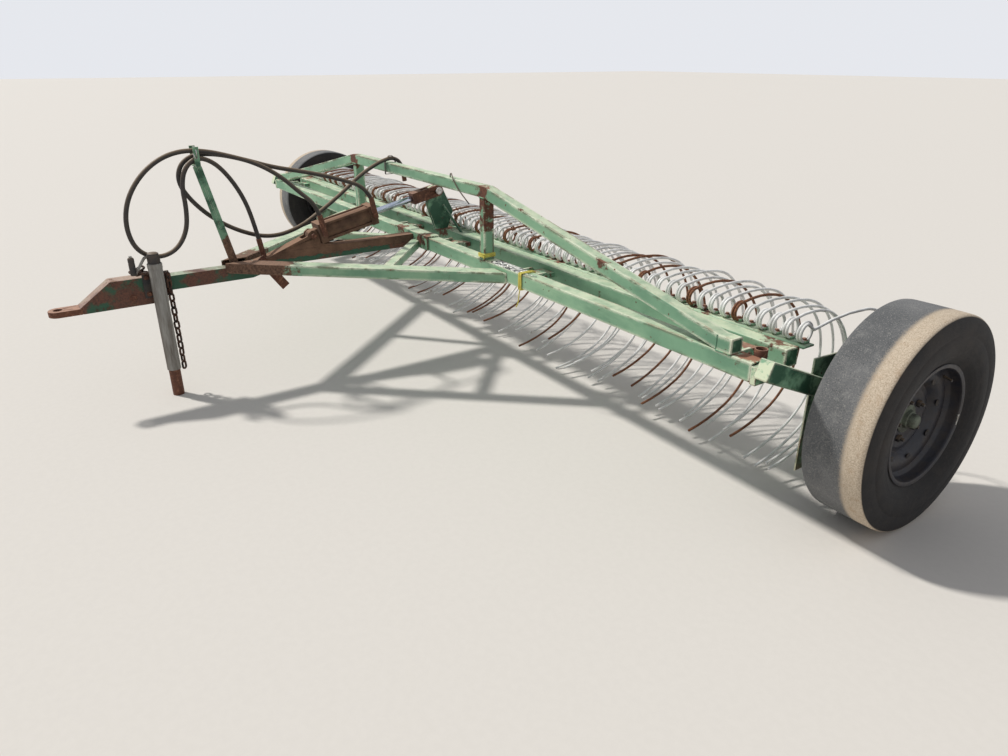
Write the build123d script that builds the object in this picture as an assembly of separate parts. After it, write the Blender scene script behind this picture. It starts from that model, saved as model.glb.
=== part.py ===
from build123d import *

import os
from math import atan2, ceil, cos, degrees, hypot, pi, radians, sin, tan

# A trailed hydraulic dump rake. Millimetres, +X to the right, +Y to the rear, +Z up, floor at 0.
# Everything is drawn from the front face of the front beam (y = 0) and moved at the end, so that
# the origin lies on the floor under the middle of the whole machine.

# Front beam, truss and braces
beam_half = 2201.0
beam_size = 63.5
beam_wall = 5.0
beam_top = 580.0
chord_size = 50.8
chord_wall = 4.0
chord_top = 907.0
chord_foot_inset = 140.0
chord_end_inset = 81.0
post_x = 710.0
post_wide = 38.0
long_brace_wide = 76.2
long_brace_tall = 48.0
brace_foot_x = 840.0
brace_start_y = -920.0
short_brace_wide = 45.0
short_brace_tall = 40.0
short_brace_share = 0.57
brace_bottom = 512.0
brace_wall = 4.0
saddle_half = 180.0
saddle_sheet = 8.0
sleeve_radius = 21.0
sleeve_wall = 4.0
sleeve_inset = 34.0
sleeve_rise = 20.0

# Wheel arms and side shields
arm_mount_wide = 21.0
arm_wide = 51.0
arm_tall = 66.0
arm_wall = 5.0
arm_front_y = 2.0
arm_front_z = 574.0
arm_past_axle = 60.0
arm_mount_drop = 8.0
arm_mount_hang = 4.0
spindle_radius = 19.0
spindle_collar = 14.0
spindle_collar_long = 6.0
shield_thick = 6.0
shield_front_y = 295.0
shield_rear_y = 700.0
shield_bottom = 120.0
shield_top = 537.0
shield_fall = 20.0

# Wheels
tyre_radius = 367.0
tyre_half_tread = 97.0
tyre_bulge = 14.0
tyre_shoulder = 18.0
tyre_tread_thick = 22.0
tyre_wall = 12.0
tyre_foot = 44.0
wheel_offset = 163.0
axle_y = 482.0
seat_radius = 194.0
rim_flange = 10.0
rim_half_width = 90.0
rim_sheet = 5.0
disc_inner_x = 14.0
disc_outer_x = 38.0
disc_sheet = 6.0
dish_radius = 120.0
hub_radius = 48.0
hub_flange_radius = 86.0
hub_flange_thick = 8.0
hub_barrel_radius = 32.0
hub_cap_radius = 35.0
hub_cap_x = 58.0
hub_fit = 0.08
hub_inner_gap = 12.0
spindle_end_gap = 12.0
spindle_end_x = 30.0

# Tongue, hitch and jack
tongue_size = 63.5
tongue_wall = 5.0
tongue_low_z = 506.0
tongue_high_z = 546.0
tongue_front_y = -1330.0
tongue_bend_front_y = -860.0
tongue_bend_rear_y = -700.0
head_front_y = -1589.0
head_peak_y = -1459.0
head_rear_y = -1240.0
head_top = 549.0
head_bottom = 428.0
head_sheet = 6.0
hitch_tip_y = -1706.0
hitch_wide = 76.0
hitch_thick = 26.0
hitch_hole_radius = 17.0
hitch_hole_setback = 38.0
jack_y = -1277.0
jack_tube_radius = 29.0
jack_tube_wall = 4.0
jack_tube_bottom = 125.0
jack_tube_top = 615.0
jack_leg_gap = 0.3
jack_leg_wall = 4.0
jack_leg_tall = 375.0
jack_cap_inset = 3.0
jack_cap_tall = 46.0
jack_plate_size = 110.0
jack_plate_thick = 10.0
jack_plate_mid_z = 513.0
crank_bar = 12.0
crank_rise = 30.0
crank_start = 24.0
crank_reach = 64.0
crank_drop = 76.0
grip_radius = 13.0
grip_tall = 90.0
grip_lift = 46.0

# Tine bar, hinge and tines
hinge_y = 122.0
hinge_z = 548.0
hinge_pin_radius = 10.0
hinge_gap = 0.05
hinge_lug_radius = 22.0
hinge_lug_chamfer = 14.0
hinge_lug_thick = 10.0
hinge_lug_spread = 52.0
hinge_inner_stations = (250.0, 950.0)
hinge_end_inset = 161.0
bar_end_gap = 11.0
bar_front_y = 183.0
strip_wide = 56.0
strip_thick = 6.0
strip_gap = 1.0
gang_count = 6
tines_per_gang = 14
tine_end_gap = 11.25
wire = 9.5
coil_across = 74.0
coil_wide = 30.0
coil_sides = 8
coil_past_strip = 10.0
# The hoop's bends: radius, and the heading in degrees at its end (90 is up, 0 to the rear)
hoop_start_heading = 12.0
hoop_bends = [(480.0, -12.0), (290.0, -150.0), (656.0, -170.0)]
hoop_turn_step = 30.0
lever_thick = 20.0
strut_radius = 7.0
strut_top = (190.0, 706.0)
strut_foot = (150.0, 214.0)

# Lift cylinder: base pin, and the rod's eye with the tines down
base_pin = (-547.0, 632.0)
rod_eye = (154.0, 784.0)
eye_pin_radius = 12.7
barrel_radius = 44.5
barrel_start = 32.0
barrel_length = 310.0
head_block = 96.0
head_block_long = 34.0
rod_radius = 16.0
clevis_long = 150.0
clevis_tall = 56.0
clevis_ear = 16.0
clevis_slot = 92.0
side_gap = 1.0
pin_head = 8.0
pin_rim = 6.0
base_pin_past = 14.0
bore_radius = 38.1
base_ear_radius = 24.0
tie_rod_radius = 7.0
tie_rod_inset = 10.0
port_stub_radius = 10.0
port_stub_long = 10.0
elbow_size = 20.0
ferrule_radius = 13.0
ferrule_top = 60.0
bracket_inner_x = 21.0
bracket_sheet = 10.0
bracket_gap = 4.0
bracket_foot_y = -790.0
bracket_foot_sink = 24.0
bracket_rear_y = -430.0
ramp_thick = 6.0
ramp_front_y = -750.0
ramp_rear_y = -600.0

# Hose holder, a bar that stands on the tongue with a forked top
holder_x = -8.0
holder_foot_y = -924.0
holder_top_y = -1024.0
holder_wide = 28.0
holder_thick = 8.0
fork_half = 34.0
fork_sheet = 6.0
fork_long = 24.0
fork_tall = 84.0
fork_top = 1074.0

# Lock bar on the tongue's right side, and the safety chain on the jack's plate
lock_line = [(-820.0, 565.0), (-712.0, 412.0)]
lock_half = 21.0
lock_thick = 8.0
lock_spacer = (-790.0, -768.0, 500.0, 522.0)
link_long = 46.0
link_wide = 30.0
link_wire = 8.0
link_corner = 9.0
link_slack = 2.0
chain_links = 14
chain_inset = 10.0
chain_y = -1231.0
chain_top = 570.0
chain_pin_radius = 6.0

# Hoses: the points that each one follows, after its straight start at its port
hose_radius = 10.0
hose_start_run = 84.0
hose_arc_share = 0.45
coupler_radius = 12.5
tongue_coupler_long = 105.0
chord_coupler_long = 45.0
base_hose_route = [
    (55, -598, 846), (40, -678, 928), (20, -778, 991), (5, -887, 1027), (0, -980, 1052),
    (0, -1082, 1060), (8, -1180, 1031), (15, -1267, 965), (22, -1332, 870), (28, -1354, 761),
    (32, -1329, 664), (34, -1253, 623), (30, -1170, 646), (24, -1114, 722), (18, -1099, 818),
    (12, -1102, 915), (9, -1078, 990), (6, -1020, 1030), (4, -955, 1006), (2, -897, 940),
    (0, -846, 844), (0, -818, 746), (0, -801, 646)]
rod_hose_route = [
    (35, -413, 897), (10, -548, 932), (-10, -694, 962), (-20, -809, 1002), (-24, -934, 1036),
    (-24, -1031, 1038), (-22, -1092, 997), (-23, -1108, 922), (-28, -1063, 840),
    (-38, -985, 756), (-44, -872, 681), (-60, -730, 630), (-95, -577, 649), (-135, -441, 711),
    (-180, -309, 777), (-225, -171, 860), (-257, -54, 908), (-266, 22, 929), (-272, 66, 921),
    (-276, 98, 889), (-278, 106, 844)]

# Places that follow from the sizes above
arm_inner_x = beam_half + arm_mount_wide
wheel_centre_x = arm_inner_x + arm_wide + wheel_offset
chord_foot_x = beam_half - chord_foot_inset
chord_end_x = beam_half - chord_end_inset
bar_half = beam_half - bar_end_gap
hinge_stations = [side * x for x in (*hinge_inner_stations, beam_half - hinge_end_inset)
                  for side in (-1, 1)]
holder_top_z = fork_top - fork_tall
head_wide = tongue_size + 2 * head_sheet


def block(x0, x1, y0, y1, z0, z1):
    """A box between two corners."""
    middle = ((x0 + x1) / 2, (y0 + y1) / 2, (z0 + z1) / 2)
    return Pos(*middle) * Box(x1 - x0, y1 - y0, z1 - z0)


def side_sheet(outline, x0, x1):
    """A closed outline of (y, z) points, extruded from x0 to x1."""
    face = make_face(Polyline(*[(x0, y, z) for y, z in outline], close=True))
    return extrude(face, amount=x1 - x0, dir=(1, 0, 0))


def front_sheet(outline, y0, y1):
    """A closed outline of (x, z) points, extruded from y0 to y1."""
    face = make_face(Polyline(*[(x, y0, z) for x, z in outline], close=True))
    return extrude(face, amount=y1 - y0, dir=(0, 1, 0))


def band(line, half):
    """The mitred outline of a bar that follows a line of 2-D points, half its width to each side."""
    left, right = [], []
    for i, (u, v) in enumerate(line):
        before = line[max(i - 1, 0)]
        after = line[min(i + 1, len(line) - 1)]
        into = atan2(v - before[1], u - before[0]) if i else None
        out = atan2(after[1] - v, after[0] - u) if i < len(line) - 1 else into
        into = out if into is None else into
        turn = (out - into + pi) % (2 * pi) - pi
        reach = half / cos(turn / 2)
        normal = into + turn / 2 + pi / 2
        left.append((u + reach * cos(normal), v + reach * sin(normal)))
        right.append((u - reach * cos(normal), v - reach * sin(normal)))
    return left + right[::-1]


def tube_between(a, b, wide, tall, wall):
    """A straight rectangular tube from a to b with its sides upright."""
    axis = Vector(*b) - Vector(*a)
    plane = Plane(origin=a, x_dir=axis.cross(Vector(0, 0, 1)), z_dir=axis)
    section = Rectangle(wide, tall) - Rectangle(wide - 2 * wall, tall - 2 * wall)
    return extrude(plane * section, amount=axis.length)


def bar_between(a, b, wide, tall):
    """A straight rectangular bar from a to b with its sides upright."""
    axis = Vector(*b) - Vector(*a)
    plane = Plane(origin=a, x_dir=axis.cross(Vector(0, 0, 1)), z_dir=axis)
    return extrude(plane * Rectangle(wide, tall), amount=axis.length)


def rod_between(a, b, radius):
    """A round bar from a to b."""
    axis = Vector(*b) - Vector(*a)
    return extrude(Plane(origin=a, z_dir=axis) * Circle(radius), amount=axis.length)


def rod_along_x(x0, x1, y, z, radius):
    """A round bar along X."""
    return Pos((x0 + x1) / 2, y, z) * Rot(0, 90, 0) * Cylinder(radius, abs(x1 - x0))


def both_sides(part):
    """The part and its mirror image across the middle plane."""
    return [part, mirror(part, about=Plane.YZ)]


def polygon_ring(y, z, x0, x1, sides, across, thick):
    """A ring of flat sides about an X axis, flat side down."""
    def corners(apothem):
        radius = apothem / cos(pi / sides)
        turns = [(i + 0.5) * 2 * pi / sides - pi / 2 for i in range(sides)]
        return [(y + radius * cos(t), z + radius * sin(t)) for t in turns]

    ring = side_sheet(corners(across / 2), x0, x1)
    return ring - side_sheet(corners(across / 2 - thick), x0, x1)


# Front beam and truss
beam_bottom = beam_top - beam_size
beam_back = beam_size
front_beam = block(-beam_half, beam_half, 0, beam_size, beam_bottom, beam_top)
front_beam -= block(-beam_half, beam_half, beam_wall, beam_size - beam_wall,
                    beam_bottom + beam_wall, beam_top - beam_wall)

chord_mid = chord_top - chord_size / 2
chord_low = beam_top + chord_size / 2
chord_line = [(-chord_end_x, chord_low), (-chord_foot_x, chord_low), (-post_x, chord_mid),
              (post_x, chord_mid), (chord_foot_x, chord_low), (chord_end_x, chord_low)]
chord_solid = front_sheet(band(chord_line, chord_size / 2), 0, chord_size)
truss_chord = chord_solid - front_sheet(band(chord_line, chord_size / 2 - chord_wall), chord_wall,
                                        chord_size - chord_wall)

post = block(post_x - post_wide, post_x, 0, chord_size, beam_top, chord_mid)
post -= block(post_x - post_wide + chord_wall, post_x - chord_wall, chord_wall,
              chord_size - chord_wall, beam_top, chord_mid)
post -= chord_solid
truss_posts = both_sides(post)

saddle_outline = [(-saddle_sheet, beam_bottom), (0, beam_bottom), (0, beam_top),
                  (beam_size, beam_top), (beam_size, beam_top + saddle_sheet),
                  (-saddle_sheet, beam_top + saddle_sheet)]
saddle_plate = side_sheet(saddle_outline, -saddle_half, saddle_half)

# Tongue: a tube with a set in it, a deeper welded head and the hitch plate
tongue_half = tongue_size / 2
tongue_line = [(tongue_front_y, tongue_low_z), (tongue_bend_front_y, tongue_low_z),
               (tongue_bend_rear_y, tongue_high_z), (-saddle_sheet, tongue_high_z)]
tongue_solid = side_sheet(band(tongue_line, tongue_half), -tongue_half, tongue_half)
tongue_tube = tongue_solid - side_sheet(band(tongue_line, tongue_half - tongue_wall),
                                        tongue_wall - tongue_half, tongue_half - tongue_wall)
tongue_low_top = tongue_low_z + tongue_half
tongue_high_top = tongue_high_z + tongue_half

hitch_top = head_bottom + hitch_thick
head_outline = [(head_front_y, hitch_top), (head_peak_y, head_top), (head_rear_y, head_top),
                (head_rear_y, head_bottom), (head_front_y, head_bottom)]
slope = atan2(head_top - hitch_top, head_peak_y - head_front_y)
head_inner = [(head_front_y + head_sheet / sin(slope), hitch_top),
              (head_peak_y + head_sheet * tan(slope / 2), head_top - head_sheet),
              (head_rear_y, head_top - head_sheet), (head_rear_y, head_bottom),
              (head_front_y + head_sheet / sin(slope), head_bottom)]
tongue_head = side_sheet(head_outline, -head_wide / 2, head_wide / 2)
tongue_head -= side_sheet(head_inner, head_sheet - head_wide / 2, head_wide / 2 - head_sheet)
tongue_head -= block(-head_wide / 2, head_wide / 2, head_front_y - 1,
                     head_front_y + head_sheet / sin(slope), head_bottom - 1, hitch_top)

hitch_inside_wide = head_wide - 2 * head_sheet
hitch_hole_y = hitch_tip_y + hitch_hole_setback
hitch_front = head_front_y + head_sheet / sin(slope)
hitch_plate = block(-hitch_wide / 2, hitch_wide / 2, hitch_hole_y, hitch_front, head_bottom, hitch_top)
hitch_plate += block(-hitch_inside_wide / 2, hitch_inside_wide / 2, hitch_front,
                     tongue_front_y, head_bottom, hitch_top)
hitch_mid = (head_bottom + hitch_top) / 2
hitch_plate += Pos(0, hitch_hole_y, hitch_mid) * Cylinder(hitch_wide / 2, hitch_thick)
hitch_plate -= Pos(0, hitch_hole_y, hitch_mid) * Cylinder(hitch_hole_radius, hitch_thick)

# Braces of the tongue
brace_mid_z = brace_bottom + long_brace_tall / 2
brace_run = Vector(brace_foot_x - tongue_half, -brace_start_y, 0)
overrun = brace_run.normalized() * long_brace_wide
brace_a = Vector(tongue_half, brace_start_y, brace_mid_z) - overrun
brace_b = Vector(brace_foot_x, 0, brace_mid_z) + overrun
long_brace = tube_between(tuple(brace_a), tuple(brace_b), long_brace_wide, long_brace_tall, brace_wall)
long_brace -= block(-beam_half, tongue_half, 2 * brace_start_y, 0, 0, chord_top)
long_brace -= block(0, beam_half, 0, beam_half, 0, chord_top)
long_braces = both_sides(long_brace)

short_mid_z = brace_bottom + short_brace_tall / 2
meet = Vector(tongue_half, brace_start_y, short_mid_z) + brace_run * short_brace_share
short_start = Vector(tongue_half + short_brace_wide / 2, -saddle_sheet, short_mid_z)
short_run = (meet - short_start).normalized()
short_brace = tube_between(tuple(short_start - short_run * short_brace_wide), tuple(meet),
                           short_brace_wide, short_brace_tall, brace_wall)
short_brace -= block(-beam_half, tongue_half, -beam_half, beam_half, 0, chord_top)
short_brace -= block(0, beam_half, -saddle_sheet, beam_half, 0, chord_top)
short_brace -= bar_between(tuple(brace_a), tuple(brace_b), long_brace_wide, 3 * long_brace_tall)
short_braces = both_sides(short_brace)

# Lift cylinder bracket: two wedge plates on the tongue that carry the base pin
base_y, base_z = base_pin
eye_y, eye_z = rod_eye
pin_to_eye = hypot(eye_y - base_y, eye_z - base_z)
lean = atan2(eye_z - base_z, eye_y - base_y)


def on_cylinder(u, v):
    """The (y, z) of a point u along the cylinder from its base pin and v above its axis."""
    return (base_y + u * cos(lean) - v * sin(lean), base_z + u * sin(lean) + v * cos(lean))


half_block = head_block / 2
boss_radius = barrel_start - bracket_gap
boss_corner = boss_radius * sin(radians(45))
boss_front = on_cylinder(-boss_radius, boss_radius * sin(radians(15)))
bracket_foot = (bracket_foot_y, tongue_high_top - bracket_foot_sink)
bracket_outline = [bracket_foot, boss_front, on_cylinder(-boss_corner, boss_corner),
                   on_cylinder(0, boss_radius), on_cylinder(boss_corner, boss_corner),
                   on_cylinder(boss_radius, 0), on_cylinder(boss_radius - bracket_gap / 2, -half_block),
                   (bracket_rear_y, tongue_high_top), (tongue_bend_rear_y, tongue_high_top)]
bracket_plate = side_sheet(bracket_outline, bracket_inner_x, bracket_inner_x + bracket_sheet)
bracket_plate -= rod_along_x(0, tongue_size, base_y, base_z, eye_pin_radius + hinge_gap)
ramp_slope = (boss_front[1] - bracket_foot[1]) / (boss_front[0] - bracket_foot[0])
ramp_tops = [(y, bracket_foot[1] + ramp_slope * (y - bracket_foot_y)) for y in (ramp_front_y, ramp_rear_y)]
ramp_outline = ramp_tops + [(y, z - ramp_thick) for y, z in ramp_tops[::-1]]
ramp = side_sheet(ramp_outline, -bracket_inner_x, bracket_inner_x)
cylinder_bracket = ramp.fuse(*both_sides(bracket_plate)) - tongue_solid
base_pin_half = bracket_inner_x + bracket_sheet + base_pin_past
base_pin_bar = rod_along_x(-base_pin_half, base_pin_half, base_y, base_z, eye_pin_radius)

# Lift cylinder, drawn with its axis on +Y from the base pin to the rod's eye
cylinder_frame = Pos(0, base_y, base_z) * Rot(degrees(lean), 0, 0)


def along(part):
    """A part drawn with the cylinder's axis on +Y, put on its real axis."""
    return cylinder_frame * part


def rod_along_y(y0, y1, x, z, radius):
    """A round bar along Y."""
    return Pos(x, (y0 + y1) / 2, z) * Rot(90, 0, 0) * Cylinder(radius, y1 - y0)


barrel_end = barrel_start + barrel_length
barrel_near = barrel_start + head_block_long
barrel_far = barrel_end - head_block_long
cylinder_barrel = rod_along_y(barrel_near, barrel_far, 0, 0, barrel_radius)
cylinder_barrel -= rod_along_y(barrel_near, barrel_far, 0, 0, bore_radius)
base_ear_half = bracket_inner_x - side_gap
base_head = block(-half_block, half_block, barrel_start, barrel_near, -half_block, half_block)
base_head += block(-base_ear_half, base_ear_half, 0, barrel_start, -base_ear_radius,
                   base_ear_radius)
base_head += rod_along_x(-base_ear_half, base_ear_half, 0, 0, base_ear_radius)
base_head -= rod_along_x(-half_block, half_block, 0, 0, eye_pin_radius + hinge_gap)
rod_head = block(-half_block, half_block, barrel_far, barrel_end, -half_block, half_block)
rod_head -= rod_along_y(barrel_far, barrel_end, 0, 0, rod_radius + hinge_gap)
port_x = half_block + port_stub_long + elbow_size / 2
base_port_u = barrel_start + head_block_long / 2
rod_port_u = barrel_end - head_block_long / 2
cylinder_ports = []
for u in (base_port_u, rod_port_u):
    port = rod_along_x(half_block, port_x, u, 0, port_stub_radius)
    port += block(port_x - elbow_size / 2, port_x + elbow_size / 2, u - elbow_size / 2,
                  u + elbow_size / 2, -elbow_size / 2, elbow_size)
    port += Pos(port_x, u, (elbow_size + ferrule_top) / 2) * Cylinder(ferrule_radius,
                                                                     ferrule_top - elbow_size)
    cylinder_ports.append(port)
tie_at = half_block - tie_rod_inset
tie_rods = [rod_along_y(barrel_near, barrel_far, sx * tie_at, sz * tie_at, tie_rod_radius)
            for sx in (-1, 1) for sz in (-1, 1)]

clevis_start = pin_to_eye - clevis_long
slot_half = lever_thick / 2 + side_gap
clevis_half = slot_half + clevis_ear
half_tall = clevis_tall / 2
piston_rod = rod_along_y(barrel_far, clevis_start, 0, 0, rod_radius)
rod_clevis = block(-clevis_half, clevis_half, clevis_start, pin_to_eye, -half_tall, half_tall)
rod_clevis += rod_along_x(-clevis_half, clevis_half, pin_to_eye, 0, half_tall)
rod_clevis -= block(-slot_half, slot_half, pin_to_eye - clevis_slot, pin_to_eye + clevis_tall,
                    -clevis_tall, clevis_tall)
rod_clevis -= rod_along_x(-clevis_half, clevis_half, pin_to_eye, 0, eye_pin_radius + hinge_gap)
eye_pin_end = rod_along_x(slot_half, clevis_half, pin_to_eye, 0, eye_pin_radius)
eye_pin_end += rod_along_x(clevis_half, clevis_half + pin_head, pin_to_eye, 0, eye_pin_radius + pin_rim)
eye_pin_ends = both_sides(eye_pin_end)
eye_pin_middle = rod_along_x(-lever_thick / 2, lever_thick / 2, eye_y, eye_z, eye_pin_radius)

# Tine bar: the square tube on its hinge, with the lever plate
bar_back_y = bar_front_y + beam_size
tine_tube = block(-bar_half, bar_half, bar_front_y, bar_back_y, beam_bottom, beam_top)
tine_tube -= block(-bar_half, bar_half, bar_front_y + beam_wall, bar_back_y - beam_wall,
                   beam_bottom + beam_wall, beam_top - beam_wall)

lever_outline = [(140, beam_top), (92, 716), (105, 800), (130, 810), (172, 806), (188, 792),
                 (248, 668), (212, beam_top)]
lever_plate = side_sheet(lever_outline, -lever_thick / 2, lever_thick / 2)
lever_plate -= rod_along_x(-lever_thick, lever_thick, eye_y, eye_z, eye_pin_radius + hinge_gap)
strut_from = Vector(0, *strut_top)
strut_to = Vector(*strut_foot, beam_top)
strut_past = (strut_to - strut_from).normalized() * beam_size
strut = rod_between(tuple(strut_from), tuple(strut_to + strut_past), strut_radius)
strut -= block(-lever_thick, lever_thick / 2, bar_front_y - beam_size, bar_back_y + beam_size,
               beam_top, chord_top)
strut -= block(0, bar_half, 0, bar_back_y + beam_size, 0, beam_top)
lever_plate = lever_plate.fuse(strut)

lug_nose_y = hinge_y + hinge_lug_radius
lug_flat = hinge_lug_radius - hinge_lug_chamfer
lug_outline = [(beam_back, hinge_z - hinge_lug_radius),
               (lug_nose_y - hinge_lug_chamfer, hinge_z - hinge_lug_radius),
               (lug_nose_y, hinge_z - lug_flat), (lug_nose_y, hinge_z + lug_flat),
               (lug_nose_y - hinge_lug_chamfer, hinge_z + hinge_lug_radius),
               (beam_back, hinge_z + hinge_lug_radius)]
ear_half = hinge_lug_spread - hinge_lug_thick
pin_half = hinge_lug_spread + hinge_lug_thick
hinge_lugs = []
hinge_ears = []
for x in hinge_stations:
    for side in (-1, 1):
        a = x + side * hinge_lug_spread
        lug = side_sheet(lug_outline, a - hinge_lug_thick / 2, a + hinge_lug_thick / 2)
        lug -= rod_along_x(a - hinge_lug_thick, a + hinge_lug_thick, hinge_y, hinge_z,
                           hinge_pin_radius + hinge_gap)
        hinge_lugs.append(lug)
    ear = block(x - ear_half, x + ear_half, hinge_y, bar_front_y,
                hinge_z - hinge_pin_radius, hinge_z + hinge_pin_radius)
    ear += rod_along_x(x - pin_half, x + pin_half, hinge_y, hinge_z, hinge_pin_radius)
    hinge_ears.append(ear)

# Tines: sprung wire teeth, a coil on the strip and a hoop that comes back down and forward
coil_y = bar_back_y + strip_wide / 2 + coil_past_strip
coil_z = beam_top + coil_across / 2
wire_start = (coil_y, coil_z + (coil_across - wire) / 2)
hoop_line = [wire_start]
heading = hoop_start_heading
y, z = wire_start
for radius, end_heading in hoop_bends:
    steps = ceil((heading - end_heading) / hoop_turn_step)
    step = (heading - end_heading) / steps
    for _ in range(steps):
        a, b = radians(heading), radians(heading - step)
        y += radius * (sin(a) - sin(b))
        z += radius * (cos(b) - cos(a))
        hoop_line.append((y, z))
        heading -= step
strip_back_y = bar_back_y + strip_wide
tines_total = gang_count * tines_per_gang
tine_pitch = 2 * (bar_half - tine_end_gap) / (tines_total - 1)
tine_gangs = []
for g in range(gang_count):
    gang_x = -bar_half + tine_end_gap + g * tines_per_gang * tine_pitch
    pieces = []
    for i in range(tines_per_gang):
        x = gang_x + i * tine_pitch
        pieces.append(polygon_ring(coil_y, coil_z, x - coil_wide / 2, x + coil_wide / 2,
                                   coil_sides, coil_across, wire))
        pieces.append(side_sheet(band(hoop_line, wire / 2), x - wire / 2, x + wire / 2))
    strip_x = gang_x - (tine_pitch - strip_gap) / 2
    strip = block(strip_x, strip_x + tines_per_gang * tine_pitch - strip_gap,
                  bar_back_y, strip_back_y, beam_top - strip_thick, beam_top)
    tine_gangs.append(strip.fuse(*pieces))

# Wheel arms, spindles and side shields
arm_fall = atan2(arm_front_z - tyre_radius, axle_y - arm_front_y)
arm_x = arm_inner_x + arm_wide / 2
arm_long = hypot(arm_front_z - tyre_radius, axle_y - arm_front_y) + arm_past_axle
arm_tip = (arm_x, arm_front_y + arm_long * cos(arm_fall), arm_front_z - arm_long * sin(arm_fall))
arm_front = (arm_x, arm_front_y, arm_front_z)
wheel_arm = tube_between(arm_front, arm_tip, arm_wide, arm_tall, arm_wall)
arm_cap_end = (arm_front[1] - arm_wall * cos(arm_fall), arm_front[2] + arm_wall * sin(arm_fall))
cap_outline = band([arm_cap_end, arm_front[1:]], arm_tall / 2)
wheel_arm += side_sheet(cap_outline, arm_inner_x, arm_inner_x + arm_wide)
wheel_arm -= rod_along_x(arm_inner_x, arm_inner_x + arm_wide, axle_y, tyre_radius,
                         spindle_radius)
wheel_arms = both_sides(wheel_arm)
arm_mount = block(beam_half, arm_inner_x, 0, beam_size, beam_bottom - arm_mount_hang,
                  beam_top - arm_mount_drop)
arm_mounts = both_sides(arm_mount)
hub_inner_x = arm_inner_x + arm_wide + hub_inner_gap
spindle = rod_along_x(arm_inner_x, wheel_centre_x + spindle_end_x - spindle_end_gap, axle_y, tyre_radius,
                      spindle_radius)
spindle += rod_along_x(arm_inner_x + arm_wide, arm_inner_x + arm_wide + spindle_collar_long, axle_y,
                       tyre_radius, spindle_radius + spindle_collar)
spindles = both_sides(spindle)
shield_outline = [(shield_front_y, shield_bottom), (shield_front_y, shield_top),
                  (shield_rear_y, shield_top - shield_fall), (shield_rear_y, shield_bottom)]
side_shields = both_sides(side_sheet(shield_outline, arm_inner_x - shield_thick, arm_inner_x))
sleeve_tall = beam_size + sleeve_rise
sleeve = Pos(beam_half - sleeve_inset, beam_back + sleeve_radius, beam_bottom + sleeve_tall / 2) * (
    Cylinder(sleeve_radius, sleeve_tall) - Cylinder(sleeve_radius - sleeve_wall, sleeve_tall))
end_sleeves = both_sides(sleeve)


def about_axle(profile, x):
    """A closed profile of (offset along X, radius) points, turned about the wheel's axle."""
    face = make_face(Polyline(*[(x + w, axle_y, tyre_radius + r) for w, r in profile], close=True))
    return revolve(face, axis=Axis((x, axle_y, tyre_radius), (1, 0, 0)))


def both_halves(profile):
    """A profile of points with a positive offset, and its mirror image, as one closed loop."""
    return profile + [(-w, r) for w, r in profile[::-1]]


# Tyre on its rim, the rim's dished disc, and the hub with its cap
sidewall_x = tyre_half_tread + tyre_bulge
flange_radius = seat_radius + rim_flange
bead_x = rim_half_width - rim_sheet
tyre_profile = [(bead_x - tyre_wall, tyre_radius - tyre_tread_thick), (bead_x - tyre_wall, seat_radius),
                (bead_x, seat_radius), (bead_x, flange_radius), (sidewall_x, seat_radius + tyre_foot),
                (sidewall_x, tyre_radius - tyre_shoulder), (tyre_half_tread, tyre_radius)]
tyre = about_axle(both_halves(tyre_profile), wheel_centre_x)

barrel_inside = seat_radius - rim_sheet
disc_profile = [(disc_outer_x, barrel_inside), (disc_outer_x, dish_radius), (disc_inner_x, dish_radius),
                (disc_inner_x, hub_radius), (disc_inner_x + disc_sheet, hub_radius),
                (disc_inner_x + disc_sheet, dish_radius - disc_sheet),
                (disc_outer_x + disc_sheet, dish_radius - disc_sheet),
                (disc_outer_x + disc_sheet, barrel_inside)]
rim_edge = [(rim_half_width, barrel_inside), (rim_half_width, flange_radius),
            (bead_x, flange_radius), (bead_x, seat_radius)]
rim = about_axle(disc_profile + both_halves(rim_edge), wheel_centre_x)

hub_profile = [(hub_inner_x - wheel_centre_x, spindle_radius + hub_fit),
               (hub_inner_x - wheel_centre_x, hub_barrel_radius),
               (disc_inner_x - hub_flange_thick, hub_barrel_radius),
               (disc_inner_x - hub_flange_thick, hub_flange_radius), (disc_inner_x, hub_flange_radius),
               (disc_inner_x, hub_radius), (disc_inner_x + hub_flange_thick, hub_radius),
               (disc_inner_x + hub_flange_thick, hub_cap_radius), (hub_cap_x, hub_cap_radius),
               (hub_cap_x, 0), (spindle_end_x, 0), (spindle_end_x, spindle_radius + hub_fit)]
hub = about_axle(hub_profile, wheel_centre_x)

# Jack: plate on the tongue head, fixed tube, leg that slides in it, and the crank on top
jack_plate_x = head_wide / 2
jack_x = jack_plate_x + jack_plate_thick + jack_tube_radius
half_plate = jack_plate_size / 2
jack_plate = block(jack_plate_x, jack_plate_x + jack_plate_thick, jack_y - half_plate,
                   jack_y + half_plate, jack_plate_mid_z - half_plate, jack_plate_mid_z + half_plate)
jack_mid = (jack_tube_bottom + jack_tube_top) / 2
jack_tall = jack_tube_top - jack_tube_bottom
jack_tube = Pos(jack_x, jack_y, jack_mid) * (
    Cylinder(jack_tube_radius, jack_tall) - Cylinder(jack_tube_radius - jack_tube_wall, jack_tall))
jack_cap = Pos(jack_x, jack_y, jack_tube_top + jack_cap_tall / 2) * Cylinder(
    jack_tube_radius - jack_cap_inset, jack_cap_tall)
leg_radius = jack_tube_radius - jack_tube_wall - jack_leg_gap
jack_leg = Pos(jack_x, jack_y, jack_leg_tall / 2) * (
    Cylinder(leg_radius, jack_leg_tall) - Cylinder(leg_radius - jack_leg_wall, jack_leg_tall))
crank_z = jack_tube_top + crank_rise
crank_end = (jack_x, jack_y - crank_start - crank_reach, crank_z - crank_drop)
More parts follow.
